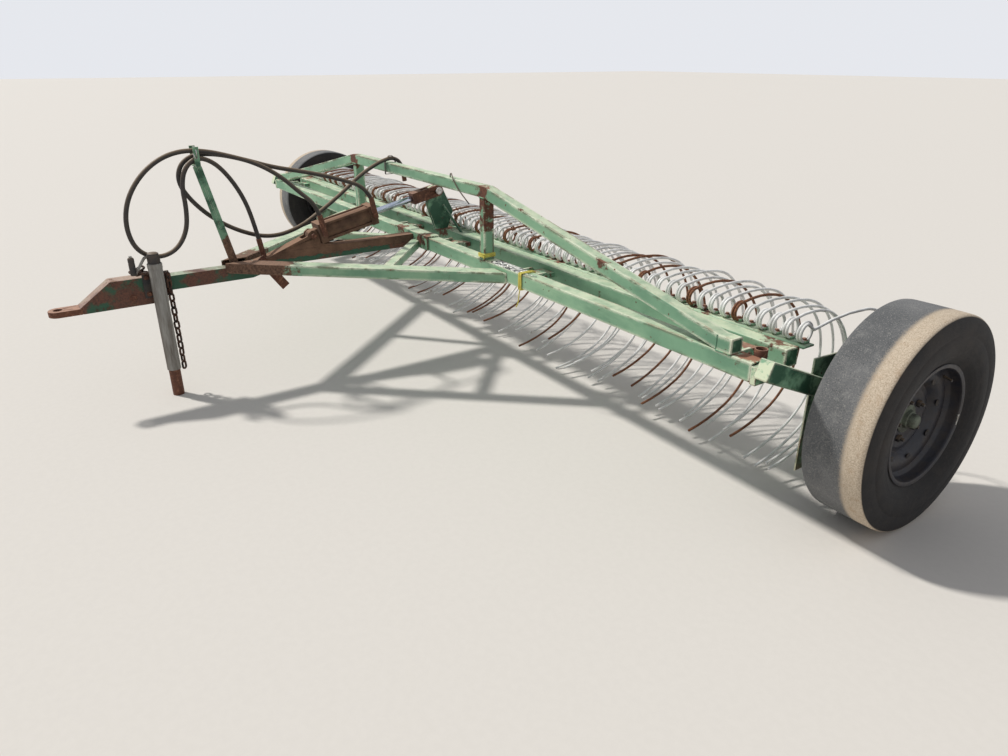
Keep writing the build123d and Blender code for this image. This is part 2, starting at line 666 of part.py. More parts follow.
crank_arm = bar_between((jack_x, jack_y - crank_start, crank_z), crank_end, crank_bar, crank_bar)
grip = Pos(crank_end[0], crank_end[1], crank_end[2] + grip_lift) * Cylinder(grip_radius, grip_tall)
crank = crank_arm + grip - jack_cap

# Hose holder, lock bar and safety chain
holder_foot = (holder_x, holder_foot_y, tongue_low_top - holder_thick)
hose_holder = bar_between(holder_foot, (holder_x, holder_top_y, holder_top_z), holder_wide, holder_thick)
fork_y0, fork_y1 = holder_top_y - fork_long / 2, holder_top_y + fork_long / 2
hose_holder += block(holder_x - fork_half, holder_x + fork_half, fork_y0, fork_y1, holder_top_z,
                     holder_top_z + fork_sheet)
for x in (holder_x - fork_half, holder_x + fork_half - fork_sheet):
    hose_holder += block(x, x + fork_sheet, fork_y0, fork_y1, holder_top_z, fork_top)
hose_holder -= tongue_solid
lock_x = tongue_half + lock_thick
lock_bar = side_sheet(band(lock_line, lock_half), lock_x, lock_x + lock_thick)
lock_bar += block(tongue_half, lock_x, *lock_spacer)


def chain_link(z_top, turned):
    """One flat-sided link that hangs from z_top, in the XZ plane or turned into the YZ plane."""
    def corners(inset, cut):
        w, top, low, c = link_wide / 2 - inset, -inset, inset - link_long, cut
        return [(c - w, top), (w - c, top), (w, top - c), (w, low + c), (w - c, low), (c - w, low),
                (-w, low + c), (-w, top - c)]

    link = front_sheet(corners(0, link_corner), -link_wire / 2, link_wire / 2)
    link -= front_sheet(corners(link_wire, link_corner / 3), -link_wire / 2, link_wire / 2)
    return Pos(jack_x - chain_inset, chain_y, z_top) * Rot(0, 0, 90 if turned else 0) * link


link_step = link_long - 2 * link_wire + link_slack
chain = [chain_link(chain_top - i * link_step, i % 2) for i in range(chain_links)]
chain_pin_z = chain_top - link_wire - chain_pin_radius + link_slack / 4
chain_pin = rod_along_x(jack_plate_x + jack_plate_thick, jack_x, chain_y, chain_pin_z, chain_pin_radius)
safety_chain = chain[0].fuse(*chain[1:], chain_pin)


def hose_tube(points):
    """A hose along its points, each corner an arc as large as its runs allow."""
    runs = [b - a for a, b in zip(points, points[1:])]
    radii = [hose_arc_share * min(a.length, b.length) / tan(radians(a.get_angle(b)) / 2)
             for a, b in zip(runs, runs[1:])]
    path = FilletPolyline(*points, radius=radii)
    tube = sweep(Plane(origin=points[0], z_dir=runs[0]) * Circle(hose_radius), path=path)
    share = tube.volume / (pi * hose_radius ** 2 * path.length)
    print("hose: length %.0f, volume %.4f of its section times its length, longest run %.0f, radii"
          % (path.length, share, max(run.length for run in runs)), " ".join("%.0f" % r for r in radii))
    return tube


def port_top(u, rise):
    """A point on a port's axis, at a height above the cylinder's own axis."""
    return Vector(port_x, *on_cylinder(u, rise))


hoses = []
for u, route in ((base_port_u, base_hose_route), (rod_port_u, rod_hose_route)):
    start = [port_top(u, ferrule_top), port_top(u, ferrule_top + hose_start_run)]
    hoses.append((hose_tube(start + [Vector(*p) for p in route]), Vector(*route[-2]), Vector(*route[-1])))
(base_hose, base_near, base_end), (rod_hose, rod_near, rod_end) = hoses
tongue_coupler = rod_between(tuple(base_end), tuple(
    base_end + (base_end - base_near).normalized() * tongue_coupler_long), coupler_radius) - tongue_solid
chord_coupler = rod_between(tuple(rod_end), tuple(
    rod_end + (rod_end - rod_near).normalized() * chord_coupler_long), coupler_radius)

# Files, one per node
beam_front_y = ((axle_y + tyre_radius) + hitch_tip_y) / -2
gang_names = ["tine_gang_%d" % (g + 1) for g in range(gang_count)]
nodes = {
    "front_beam": [front_beam],
    "truss_chord": [truss_chord],
    "truss_posts": truss_posts,
    "saddle_plate": [saddle_plate],
    "tongue_tube": [tongue_tube],
    "tongue_head": [tongue_head],
    "hitch_plate": [hitch_plate],
    "long_braces": long_braces,
    "short_braces": short_braces,
    "cylinder_bracket": [cylinder_bracket],
    "cylinder_base_pin": [base_pin_bar],
    "hinge_lugs": hinge_lugs,
    "wheel_arms": wheel_arms,
    "arm_mounts": arm_mounts,
    "spindles": spindles,
    "side_shields": side_shields,
    "end_sleeves": end_sleeves,
    "hose_holder": [hose_holder],
    "lock_bar": [lock_bar],
    "base_hose": [base_hose],
    "base_hose_coupler": [tongue_coupler],
    "rod_hose": [rod_hose],
    "rod_hose_coupler": [chord_coupler],
    "safety_chain": [safety_chain],
    "jack_plate": [jack_plate],
    "jack_tube": [jack_tube],
    "jack_cap": [jack_cap],
    "jack_crank": [crank],
    "jack_leg": [jack_leg],
    "tine_tube": [tine_tube],
    "lever_plate": [lever_plate],
    "hinge_ears": hinge_ears,
    "cylinder_barrel": [along(cylinder_barrel)],
    "cylinder_base_head": [along(base_head)],
    "cylinder_rod_head": [along(rod_head)],
    "cylinder_ports": [along(p) for p in cylinder_ports],
    "cylinder_tie_rods": [along(t) for t in tie_rods],
    "piston_rod": [along(piston_rod)],
    "rod_clevis": [along(rod_clevis)],
    "eye_pin_ends": [along(p) for p in eye_pin_ends],
    "eye_pin_middle": [eye_pin_middle],
    "tyre_right": [tyre],
    "rim_right": [rim],
    "hub_right": [hub],
    "tyre_left": [mirror(tyre, about=Plane.YZ)],
    "rim_left": [mirror(rim, about=Plane.YZ)],
    "hub_left": [mirror(hub, about=Plane.YZ)],
}
nodes.update({name: [gang] for name, gang in zip(gang_names, tine_gangs)})

os.makedirs("parts", exist_ok=True)
to_origin = Pos(0, beam_front_y, 0)
for name, pieces in nodes.items():
    solids = [s for piece in pieces for s in (to_origin * piece).solids()]
    export_step(solids[0] if len(solids) == 1 else Compound(solids), "parts/%s.step" % name)
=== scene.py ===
import random
from math import ceil, cos, pi, radians, sin

import bpy
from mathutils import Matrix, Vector


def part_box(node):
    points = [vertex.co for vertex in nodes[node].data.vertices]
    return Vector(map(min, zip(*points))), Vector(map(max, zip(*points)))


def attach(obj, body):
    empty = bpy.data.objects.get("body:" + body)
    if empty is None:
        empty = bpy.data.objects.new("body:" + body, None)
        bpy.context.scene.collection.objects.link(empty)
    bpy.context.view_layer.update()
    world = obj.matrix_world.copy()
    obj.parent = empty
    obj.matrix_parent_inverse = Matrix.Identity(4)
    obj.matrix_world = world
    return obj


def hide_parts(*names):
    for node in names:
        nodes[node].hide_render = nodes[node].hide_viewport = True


# A trailed hydraulic dump rake, dressed around its fixed frame. Metres, +X right, +Y rear, +Z up.
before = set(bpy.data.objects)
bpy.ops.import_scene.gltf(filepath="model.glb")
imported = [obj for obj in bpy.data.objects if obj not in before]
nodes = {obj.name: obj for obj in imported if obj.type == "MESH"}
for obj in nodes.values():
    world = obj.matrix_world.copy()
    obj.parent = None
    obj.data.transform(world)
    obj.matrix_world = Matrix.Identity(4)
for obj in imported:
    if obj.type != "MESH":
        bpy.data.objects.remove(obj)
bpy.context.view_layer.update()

# Camera at the photograph's place
camera_place = (3.490, -1.347, 1.429)
camera_turn = (66.508, -0.058, 55.916)
camera_lens = 26.41

# Places read from the frame
beam_low, beam_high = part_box("front_beam")
chord_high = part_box("truss_chord")[1]
head_low, head_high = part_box("tongue_head")
tine_tube_low, tine_tube_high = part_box("tine_tube")
tyre_low, tyre_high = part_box("tyre_right")
jack_low, jack_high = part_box("jack_tube")
cap_low, cap_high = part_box("jack_cap")
crank_low, crank_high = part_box("jack_crank")
plate_low, plate_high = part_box("jack_plate")
chain_low, chain_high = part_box("safety_chain")
front_y = beam_low.y
beam_top = beam_high.z
tyre_radius = (tyre_high.z - tyre_low.z) / 2
axle_y = (tyre_low.y + tyre_high.y) / 2
axle_z = (tyre_low.z + tyre_high.z) / 2
wheel_x = (tyre_low.x + tyre_high.x) / 2
jack_x = (jack_low.x + jack_high.x) / 2
jack_y = (jack_low.y + jack_high.y) / 2
up = Vector((0, 0, 1))

# Sizes that the frame doesn't give
tube_corner = 0.004
tube_size = 0.0508
hose_radius = 0.010
wire_radius = 0.0052
coil_radius = 0.03225
coil_turns = 1.5
coil_pitch = 0.0114
tine_reach = 2.17875
tines_per_gang = 14
gang_count = 6
strip_thick = 0.006
strip_wide = 0.056
coil_past_strip = 0.010
clamp_half = 0.011
clamp_front = 0.012
clamp_rear = 0.014
lowest_tip = 0.02
# The hoop's bends: radius, and the heading in degrees at its end (90 is up, 0 to the rear)
hoop_start_heading = 12.0
hoop_bends = [(0.480, -12.0), (0.290, -150.0), (0.656, -170.0)]
sprung_start_heading = 13.0
sprung_bends = [(0.900, -5.0), (0.240, -150.0), (0.500, -162.0)]
post_inner, post_outer = 0.672, 0.710
fork_y = -1.024
tyre_steps, rim_steps, hub_steps = 144, 96, 48
wheel_nuts = 5
nut_circle = 0.0680
rim_rivets = 8
chain_wire = 0.0048
link_long = 0.046
link_wide = 0.030
link_step = 0.032

# Hoses: each one's points in metres, y from the front beam's front face
base_hose_route = [
    (0.068, -0.5118, 0.7010), (0.068, -0.5296, 0.7831), (0.055, -0.598, 0.846), (0.040, -0.678, 0.928),
    (0.020, -0.778, 0.991), (0.005, -0.887, 1.027), (0.000, -0.980, 1.052), (0.000, -1.082, 1.060),
    (0.008, -1.180, 1.031), (0.015, -1.267, 0.965), (0.022, -1.332, 0.870), (0.028, -1.354, 0.761),
    (0.032, -1.329, 0.664), (0.034, -1.253, 0.623), (0.030, -1.170, 0.646), (0.024, -1.114, 0.722),
    (0.018, -1.099, 0.818), (0.012, -1.102, 0.915), (0.009, -1.078, 0.990), (0.006, -1.020, 1.030),
    (0.004, -0.955, 1.006), (0.002, -0.897, 0.940), (0.000, -0.846, 0.844), (0.000, -0.818, 0.746),
    (0.000, -0.801, 0.646)]
rod_hose_route = [
    (0.068, -0.2421, 0.7595), (0.068, -0.2599, 0.8416), (0.035, -0.413, 0.897), (0.010, -0.548, 0.932),
    (-0.010, -0.694, 0.962), (-0.020, -0.809, 1.002), (-0.024, -0.934, 1.036), (-0.024, -1.031, 1.038),
    (-0.022, -1.092, 0.997), (-0.023, -1.108, 0.922), (-0.028, -1.063, 0.840), (-0.038, -0.985, 0.756),
    (-0.044, -0.872, 0.681), (-0.060, -0.730, 0.630), (-0.095, -0.577, 0.649), (-0.135, -0.441, 0.711),
    (-0.180, -0.309, 0.777), (-0.225, -0.171, 0.860), (-0.257, -0.054, 0.908), (-0.266, 0.022, 0.929),
    (-0.272, 0.066, 0.921), (-0.276, 0.098, 0.889), (-0.278, 0.106, 0.844)]


def at(x, y, z):
    """A point given with y from the front beam's front face."""
    return Vector((x, y + front_y, z))


def link(thing):
    bpy.context.scene.collection.objects.link(thing)


# Meshes
def mesh_object(name, points, faces, materials, smooth=True, index=None):
    """An object of these points and faces, with its materials and each face's index."""
    mesh = bpy.data.meshes.new(name)
    mesh.from_pydata([tuple(p) for p in points], [], faces)
    for material in materials:
        mesh.materials.append(material)
    if index:
        mesh.polygons.foreach_set("material_index", index)
    mesh.polygons.foreach_set("use_smooth", [smooth] * len(mesh.polygons))
    mesh.update()
    thing = bpy.data.objects.new(name, mesh)
    link(thing)
    return thing


def circle(centre, a, b, radius, sides, spin=0.0):
    """Points of a ring about a centre, in the plane of two unit directions."""
    turns = [2 * pi * j / sides + spin for j in range(sides)]
    return [centre + (a * cos(t) + b * sin(t)) * radius for t in turns]


def cross_frames(path, closed):
    """For each point of a path, two directions across it that turn as little as they can."""
    count = len(path)
    if closed:
        tangents = [(path[(i + 1) % count] - path[i - 1]).normalized() for i in range(count)]
        flat = sum((a.cross(b) for a, b in zip(tangents, tangents[1:])), Vector()).normalized()
        return [(flat, t.cross(flat)) for t in tangents]
    tangents = [(path[min(i + 1, count - 1)] - path[max(i - 1, 0)]).normalized() for i in range(count)]
    side = tangents[0].orthogonal().normalized()
    frames = []
    for tangent in tangents:
        side = (side - tangent * side.dot(tangent)).normalized()
        frames.append((side, tangent.cross(side)))
    return frames


class Build:
    """Points and faces of one piece, gathered part by part."""

    def __init__(self):
        self.points, self.faces, self.index, self.values = [], [], [], []

    def add(self, points, faces, index=0, value=0.0):
        start = len(self.points)
        self.points += [Vector(p) for p in points]
        self.faces += [tuple(start + i for i in face) for face in faces]
        self.index += [index] * len(faces)
        self.values += [value] * len(points)

    def rings(self, rings, index=0, value=0.0, closed=False):
        """Skin over rings of equal numbers of points."""
        n, m = len(rings[0]), len(rings)
        faces = [(i * n + j, i * n + (j + 1) % n, (i + 1) % m * n + (j + 1) % n, (i + 1) % m * n + j)
                 for i in range(m if closed else m - 1) for j in range(n)]
        if not closed:
            faces += [tuple(range(n))[::-1], tuple((m - 1) * n + j for j in range(n))]
        self.add([p for ring in rings for p in ring], faces, index, value)

    def tube(self, path, radius, sides=8, index=0, value=0.0, closed=False):
        """A round bar along a path; the radius is one number or one for each point."""
        path = [Vector(p) for p in path]
        radii = radius if isinstance(radius, list) else [radius] * len(path)
        rings = [circle(p, a, b, r, sides) for p, r, (a, b) in zip(path, radii, cross_frames(path, closed))]
        self.rings(rings, index, value, closed)

    def lathe(self, base, axis, profile, sides):
        """A round part from (height, radius) points along an axis."""
        self.tube([base + axis * h for h, _ in profile], [r for _, r in profile], sides)

    def strap(self, path, thick, wide, across, index=0):
        """A closed flat band along a path, with its width along one direction."""
        path = [Vector(p) for p in path]
        wide_way = Vector(across).normalized()
        rings = []
        for i, p in enumerate(path):
            out = (path[(i + 1) % len(path)] - path[i - 1]).cross(wide_way).normalized()
            rings.append([p + out * (thick / 2 * u) + wide_way * (wide / 2 * v)
                          for u, v in ((-1, -1), (1, -1), (1, 1), (-1, 1))])
        self.rings(rings, index, 0.0, True)

    def block(self, low, high, index=0):
        """A box between two corners."""
        xs, ys, zs = zip(low, high)
        corners = [(x, y, z) for x in xs for y in ys for z in zs]
        faces = [(0, 1, 3, 2), (4, 6, 7, 5), (0, 4, 5, 1), (2, 3, 7, 6), (0, 2, 6, 4), (1, 5, 7, 3)]
        self.add(corners, faces, index)

    def prism(self, base, axis, radius, height, sides=6, index=0, spin=0.0):
        """A prism on a base point, with a small chamfer at its top."""
        axis = Vector(axis).normalized()
        a = axis.orthogonal().normalized()
        b = axis.cross(a)
        self.rings([circle(Vector(base) + axis * h, a, b, radius * share, sides, spin)
                    for h, share in ((0, 1), (0.8 * height, 1), (height, 0.86))], index)

    def bolt(self, base, axis, across, index=0, spin=0.0):
        """A hex head on a washer."""
        axis = Vector(axis).normalized()
        self.prism(base, axis, across * 0.82, across * 0.12, 16, index)
        self.prism(Vector(base) + axis * across * 0.12, axis, across * 0.58, across * 0.42, 6, index, spin)

    def turned(self, profile, centre, steps):
        """A closed profile of (offset along X, radius) points turned about an X axis."""
        centre = Vector(centre)
        turns = [2 * pi * i / steps for i in range(steps)]
        points = [centre + Vector((w, r * cos(t), r * sin(t))) for t in turns for w, r in profile]
        n = len(profile)
        faces = [(i * n + j, (i + 1) % steps * n + j, (i + 1) % steps * n + (j + 1) % n, i * n + (j + 1) % n)
                 for i in range(steps) for j in range(n)]
        self.add(points, faces)

    def make(self, name, looks, body, slot, stands_for=(), smooth=True, sharp=False):
        """The piece in its finishes. A sharp one is shaded flat across edges of over 40 degrees."""
        materials = [finishes[look] for look in looks]
        thing = mesh_object(name, self.points, self.faces, materials, smooth, self.index)
        if sharp:
            split = thing.modifiers.new("sharp", "EDGE_SPLIT")
            split.split_angle = radians(40)
        if any(self.values):
            shade = thing.data.attributes.new("rust", "FLOAT", "POINT")
            shade.data.foreach_set("value", self.values)
        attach(thing, body)
        if stands_for:
            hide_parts(*stands_for)
        return thing


def round_edges(thing, width):
    """Welds a piece's split corners and rounds its sharp edges."""
    weld = thing.modifiers.new("weld", "WELD")
    weld.merge_threshold = 0.00002
    bevel = thing.modifiers.new("round", "BEVEL")
    bevel.width = width
    bevel.segments = 2
    bevel.limit_method = "ANGLE"
    bevel.angle_limit = radians(35)
    bevel.harden_normals = True


# Materials
def srgb(r, g, b):
    """A colour from its 0 to 255 screen values."""
    return tuple(((c / 255 + 0.055) / 1.055) ** 2.4 if c > 10 else c / 255 / 12.92 for c in (r, g, b)) + (1,)


class Finish:
    """A material under construction, with short ways to add and join its nodes."""

    def __init__(self, name, colour, roughness, metallic=0.0):
        self.material = bpy.data.materials.new(name)
        self.material.use_nodes = True
        self.tree = self.material.node_tree
        self.shader = self.tree.nodes["Principled BSDF"]
        self.shader.inputs["Base Color"].default_value = colour
        self.shader.inputs["Roughness"].default_value = roughness
        self.shader.inputs["Metallic"].default_value = metallic
        self.place = self.node("ShaderNodeTexCoord").outputs["Object"]
        self.colour = None
        self.rough = None

    def node(self, kind, **settings):
        made = self.tree.nodes.new(kind)
        for key, value in settings.items():
            setattr(made, key, value)
        return made

    def put(self, socket, value):
        if isinstance(value, bpy.types.NodeSocket):
            self.tree.links.new(value, socket)
        else:
            socket.default_value = value

    def noise(self, scale, detail, rough=0.6, stretch=None):
        made = self.node("ShaderNodeTexNoise")
        place = self.place
        if stretch:
            mapping = self.node("ShaderNodeMapping")
            self.put(mapping.inputs["Vector"], self.place)
            mapping.inputs["Scale"].default_value = stretch
            place = mapping.outputs["Vector"]
        self.put(made.inputs["Vector"], place)
        made.inputs["Scale"].default_value = scale
        made.inputs["Detail"].default_value = detail
        made.inputs["Roughness"].default_value = rough
        return made.outputs["Fac"]

    def range(self, value, low, high, to_low=0.0, to_high=1.0):
        made = self.node("ShaderNodeMapRange", interpolation_type="SMOOTHSTEP")
        for key, number in zip(("Value", "From Min", "From Max", "To Min", "To Max"),
                               (value, low, high, to_low, to_high)):
            self.put(made.inputs[key], number)
        return made.outputs["Result"]

    def math(self, kind, a, b, clamp=True):
        made = self.node("ShaderNodeMath", operation=kind, use_clamp=clamp)
        self.put(made.inputs[0], a)
        self.put(made.inputs[1], b)
        return made.outputs[0]

    def times(self, a, b):
        return self.math("MULTIPLY", a, b)

    def plus(self, a, b):
        return self.math("ADD", a, b)

    def swing(self, noise, amount):
        """A noise about zero, times an amount."""
        return self.math("MULTIPLY", self.math("SUBTRACT", noise, 0.5, False), amount, False)

    def most(self, *values):
        result = values[0]
        for value in values[1:]:
            result = self.math("MAXIMUM", result, value)
        return result

    def mix(self, share, a, b):
        made = self.node("ShaderNodeMix", data_type="RGBA")
        self.put(made.inputs[0], share)
        self.put(made.inputs[6], a)
        self.put(made.inputs[7], b)
        return made.outputs[2]

    def blend_number(self, share, a, b):
        made = self.node("ShaderNodeMix", data_type="FLOAT")
        self.put(made.inputs[0], share)
        self.put(made.inputs[2], a)
        self.put(made.inputs[3], b)
        return made.outputs[0]

    def axis(self, name, source=None):
        made = self.node("ShaderNodeSeparateXYZ")
        self.put(made.inputs[0], source or self.place)
        return made.outputs[name]

    def near(self, point, radius):
        """1 at a point of the frame, fading to 0 at the radius."""
        made = self.node("ShaderNodeVectorMath", operation="DISTANCE")
        self.put(made.inputs[0], self.place)
        made.inputs[1].default_value = point
        return self.range(made.outputs["Value"], radius, 0.0)

    def edges(self, radius):
        """1 on the outer edges of a piece."""
        bevel = self.node("ShaderNodeBevel", samples=6)
        bevel.inputs["Radius"].default_value = radius
        plain = self.node("ShaderNodeNewGeometry").outputs["Normal"]
        dot = self.node("ShaderNodeVectorMath", operation="DOT_PRODUCT")
        self.put(dot.inputs[0], bevel.outputs["Normal"])
        self.put(dot.inputs[1], plain)
        return self.range(dot.outputs["Value"], 0.990, 0.94)

    def facing(self, name, low, high):
        """0 to 1 as a face turns to look along an axis of the frame."""
        normal = self.node("ShaderNodeTexCoord").outputs["Normal"]
        return self.range(self.axis(name, normal), low, high)

    def upward(self):
        """1 on faces that look up."""
        return self.facing("Z", 0.5, 0.95)

    def done(self, bump=None, strength=0.4, distance=0.002):
        if self.colour is not None:
            self.put(self.shader.inputs["Base Color"], self.colour)
        if self.rough is not None:
            self.put(self.shader.inputs["Roughness"], self.rough)
        if bump is not None:
            made = self.node("ShaderNodeBump")
            made.inputs["Strength"].default_value = strength
            made.inputs["Distance"].default_value = distance
            self.put(made.inputs["Height"], bump)
            self.put(self.shader.inputs["Normal"], made.outputs["Normal"])
        return self.material


green_dark = srgb(92, 134, 108)
green_mid = srgb(126, 168, 136)
green_pale = srgb(158, 192, 156)
green_deep = srgb(38, 80, 58)
# Chalked pale paint, also used as a painted highlight on upward and front faces
chalk_and_highlight = srgb(206, 216, 186)
rust_dark = srgb(66, 40, 31)
rust_mid = srgb(108, 66, 47)
rust_pale = srgb(158, 112, 88)
mud_pale = srgb(128, 98, 78)
mud_dark = srgb(66, 47, 38)
# Mud as a painted highlight on upward faces
mud_top = srgb(152, 120, 98)
dust = srgb(170, 144, 112)
edge_chalk = srgb(224, 224, 202)
# Pale paint on upward faces: partly faded, partly a painted highlight
faded_lit_paint = srgb(196, 204, 178)
rust_tones = (rust_dark, rust_mid, rust_pale)
mud_tones = (mud_dark, mud_pale, mud_top)


def painted_green(name, patches=(), rusty=0.0, deep=0.0, flakes=None, pale_front=False, edge_wide=0.014,
                  under=rust_tones):
    """Old green paint: paler on top, partly chalked and partly a painted highlight; rubbed at its edges,
    with specks and patches of what is under it.
    """
    f = Finish(name, green_mid, 0.55)
    broad = f.noise(2.3, 5)
    middle = f.noise(14, 6, 0.65)
    fine = f.noise(90, 5, 0.7)
    streak = f.noise(6, 6, 0.7, stretch=(0.25, 1, 1))
    top = f.upward()
    edge = f.edges(edge_wide)

    base = f.mix(f.range(broad, 0.35, 0.7), green_mid, green_dark)
    base = f.mix(f.range(streak, 0.45, 0.75, 0, 0.6), base, green_pale)
    if deep:
        base = f.mix(f.range(middle, 0.75 - 0.5 * deep, 0.95 - 0.5 * deep), base, green_deep)
    # Front-facing faces get pale chalky mottles in place of the deep green: partly pitted paint, partly
    # painted light
    if pale_front:
        mottled = f.mix(f.range(middle, 0.44, 0.52), green_mid, chalk_and_highlight)
        base = f.mix(f.facing("Y", -0.6, -0.85), base, mottled)
    # Upward faces turn chalky pale: partly weathered chalking, partly a painted highlight
    base = f.mix(f.times(top, f.range(middle, 0.25, 0.7, 0.25, 0.95)), base, chalk_and_highlight)
    base = f.mix(f.times(edge, f.range(streak, 0.40, 0.52)), base, edge_chalk)
    if flakes:
        point, radius = flakes
        spot = f.math("ADD", f.near(point, radius), f.times(f.noise(24, 4), 0.5), False)
        chips = f.mix(f.range(f.noise(75, 2, 0.5), 0.47, 0.51), srgb(34, 34, 36), srgb(216, 216, 210))
        base = f.mix(f.times(top, f.range(spot, 0.62, 0.70)), base, chips)

    rubbed = f.times(edge, f.range(f.noise(9, 7, 0.7, stretch=(0.4, 1, 1)), 0.50, 0.56))
    specks = f.range(f.noise(62, 3, 0.5), 0.69 - 0.05 * rusty, 0.75 - 0.05 * rusty)
    worn = f.range(f.noise(7.5, 8, 0.72), 0.66 - 0.16 * rusty, 0.72 - 0.16 * rusty)
    loss = f.most(rubbed, specks, worn)
    for point, radius, share in patches:
        spot = f.plus(f.times(f.near(point, radius), share), f.noise(26, 7, 0.72))
        loss = f.most(loss, f.range(spot, 0.74, 0.84))
    bare = f.mix(f.range(fine, 0.3, 0.7), under[0], under[1])
    # Bare spots are paler on upward faces: partly weathering, partly a painted highlight
    bare = f.mix(f.times(top, f.range(broad, 0.3, 0.7)), bare, under[2])

    colour = f.mix(loss, base, bare)
    low = f.range(f.axis("Z"), 0.45, 0.1, 0, 0.5)
    f.colour = f.mix(f.times(low, f.range(middle, 0.35, 0.65)), colour, dust)
    f.rough = f.blend_number(loss, f.range(broad, 0.2, 0.8, 0.48, 0.7), 0.88)
    bumps = f.plus(f.times(loss, 0.4), f.times(fine, 0.5))
    return f.done(bumps, 0.5, 0.0012)


def rusty_steel(name, pale=0.0, green=0.0):
    """Bare steel under an even brown rust, with what is left of its paint."""
    f = Finish(name, rust_mid, 0.85)
    broad = f.noise(5, 6, 0.65)
    fine = f.noise(60, 6, 0.7)
    top = f.upward()
    base = f.mix(f.range(broad, 0.3, 0.7), rust_dark, rust_mid)
    base = f.mix(f.range(fine, 0.45, 0.75, 0, 0.8), base, rust_pale)
    # Upward faces turn a paler pinkish rust, more as pale grows: partly weathering, partly a painted
    # highlight
    base = f.mix(f.times(top, f.range(fine, 0.2, 0.6, 0.2, 0.5 + 0.4 * pale)), base, srgb(184, 146, 126))
    if green:
        flakes = f.range(f.noise(16, 7, 0.7), 0.68 - 0.3 * green, 0.76 - 0.3 * green)
        # Paint flakes are pale green on upward faces and dark green elsewhere: painted light and shade of one
        # paint
        base = f.mix(flakes, base, f.mix(top, green_dark, green_pale))
    f.colour = base
    f.rough = f.range(fine, 0.2, 0.8, 0.72, 0.95)
    grain = f.plus(f.times(fine, 0.7), f.times(broad, 0.5))
    return f.done(grain, 0.6, 0.0015)


def mud_caked(name, share, under=green_dark, from_y=None, rusty=0.0, faded_and_lit=faded_lit_paint, clean_z=None):
    """Dried mud over paint and rust; share 1 covers nearly all. It may thicken past a place along Y
    and thin out below a height."""
    f = Finish(name, mud_pale, 0.95)
    broad = f.noise(6, 7, 0.65)
    middle = f.noise(22, 6, 0.7)
    fine = f.noise(120, 5, 0.7)
    patch = f.noise(5, 7, 0.68)
    top = f.upward()
    rusted = f.mix(f.range(fine, 0.3, 0.7), rust_dark, rust_mid)
    base = f.mix(f.range(patch, 0.46 - rusty, 0.54 - rusty), under, rusted)
    # Upward faces show pale paint: partly faded paint, partly a painted highlight
    base = f.mix(f.times(top, f.range(patch, 0.62, 0.4, 0, 0.8)), base, faded_and_lit)
    caked = f.mix(f.range(broad, 0.3, 0.7), mud_dark, mud_pale)
    # Mud is lighter on every upward face: a painted highlight
    caked = f.mix(f.times(top, 0.75), caked, mud_top)
    caked = f.mix(f.range(fine, 0.55, 0.8, 0, 0.5), caked, mud_dark)
    level = middle
    if from_y is not None:
        thick = f.range(f.axis("Y"), from_y - 0.25, from_y + 0.1, -0.28, 0.3)
        level = f.math("ADD", middle, thick, False)
    if clean_z is not None:
        thin = f.range(f.axis("Z"), clean_z + 0.016, clean_z - 0.016, 0, 0.55)
        level = f.math("SUBTRACT", level, thin, False)
    cover = f.range(level, 0.72 - 0.5 * share, 0.8 - 0.5 * share)
    f.colour = f.mix(cover, base, caked)
    f.rough = f.blend_number(cover, 0.62, 0.97)
    lumps = f.plus(f.times(cover, middle), f.times(fine, 0.25))
    return f.done(lumps, 0.8, 0.004)


def tine_steel(name):
    """Spring wire: white zinc, with rust by the wire's own age."""
    f = Finish(name, srgb(196, 196, 190), 0.5)
    age = f.node("ShaderNodeAttribute", attribute_name="rust").outputs["Fac"]
    fine = f.noise(160, 4, 0.7)
    middle = f.noise(13, 6, 0.75)
    zinc = f.mix(f.range(middle, 0.35, 0.65), srgb(244, 244, 242), srgb(208, 208, 206))
    zinc = f.mix(f.range(fine, 0.62, 0.75, 0, 0.6), zinc, srgb(140, 128, 116))
    rusted = f.mix(f.range(fine, 0.35, 0.65), srgb(84, 52, 38), srgb(146, 96, 64))
    spread = f.swing(middle, 1.1)
    share = f.range(f.math("ADD", age, spread, False), 0.36, 0.60)
    f.colour = f.mix(share, zinc, rusted)
    f.rough = f.blend_number(share, 0.42, 0.85)
    return f.done(fine, 0.25, 0.0006)


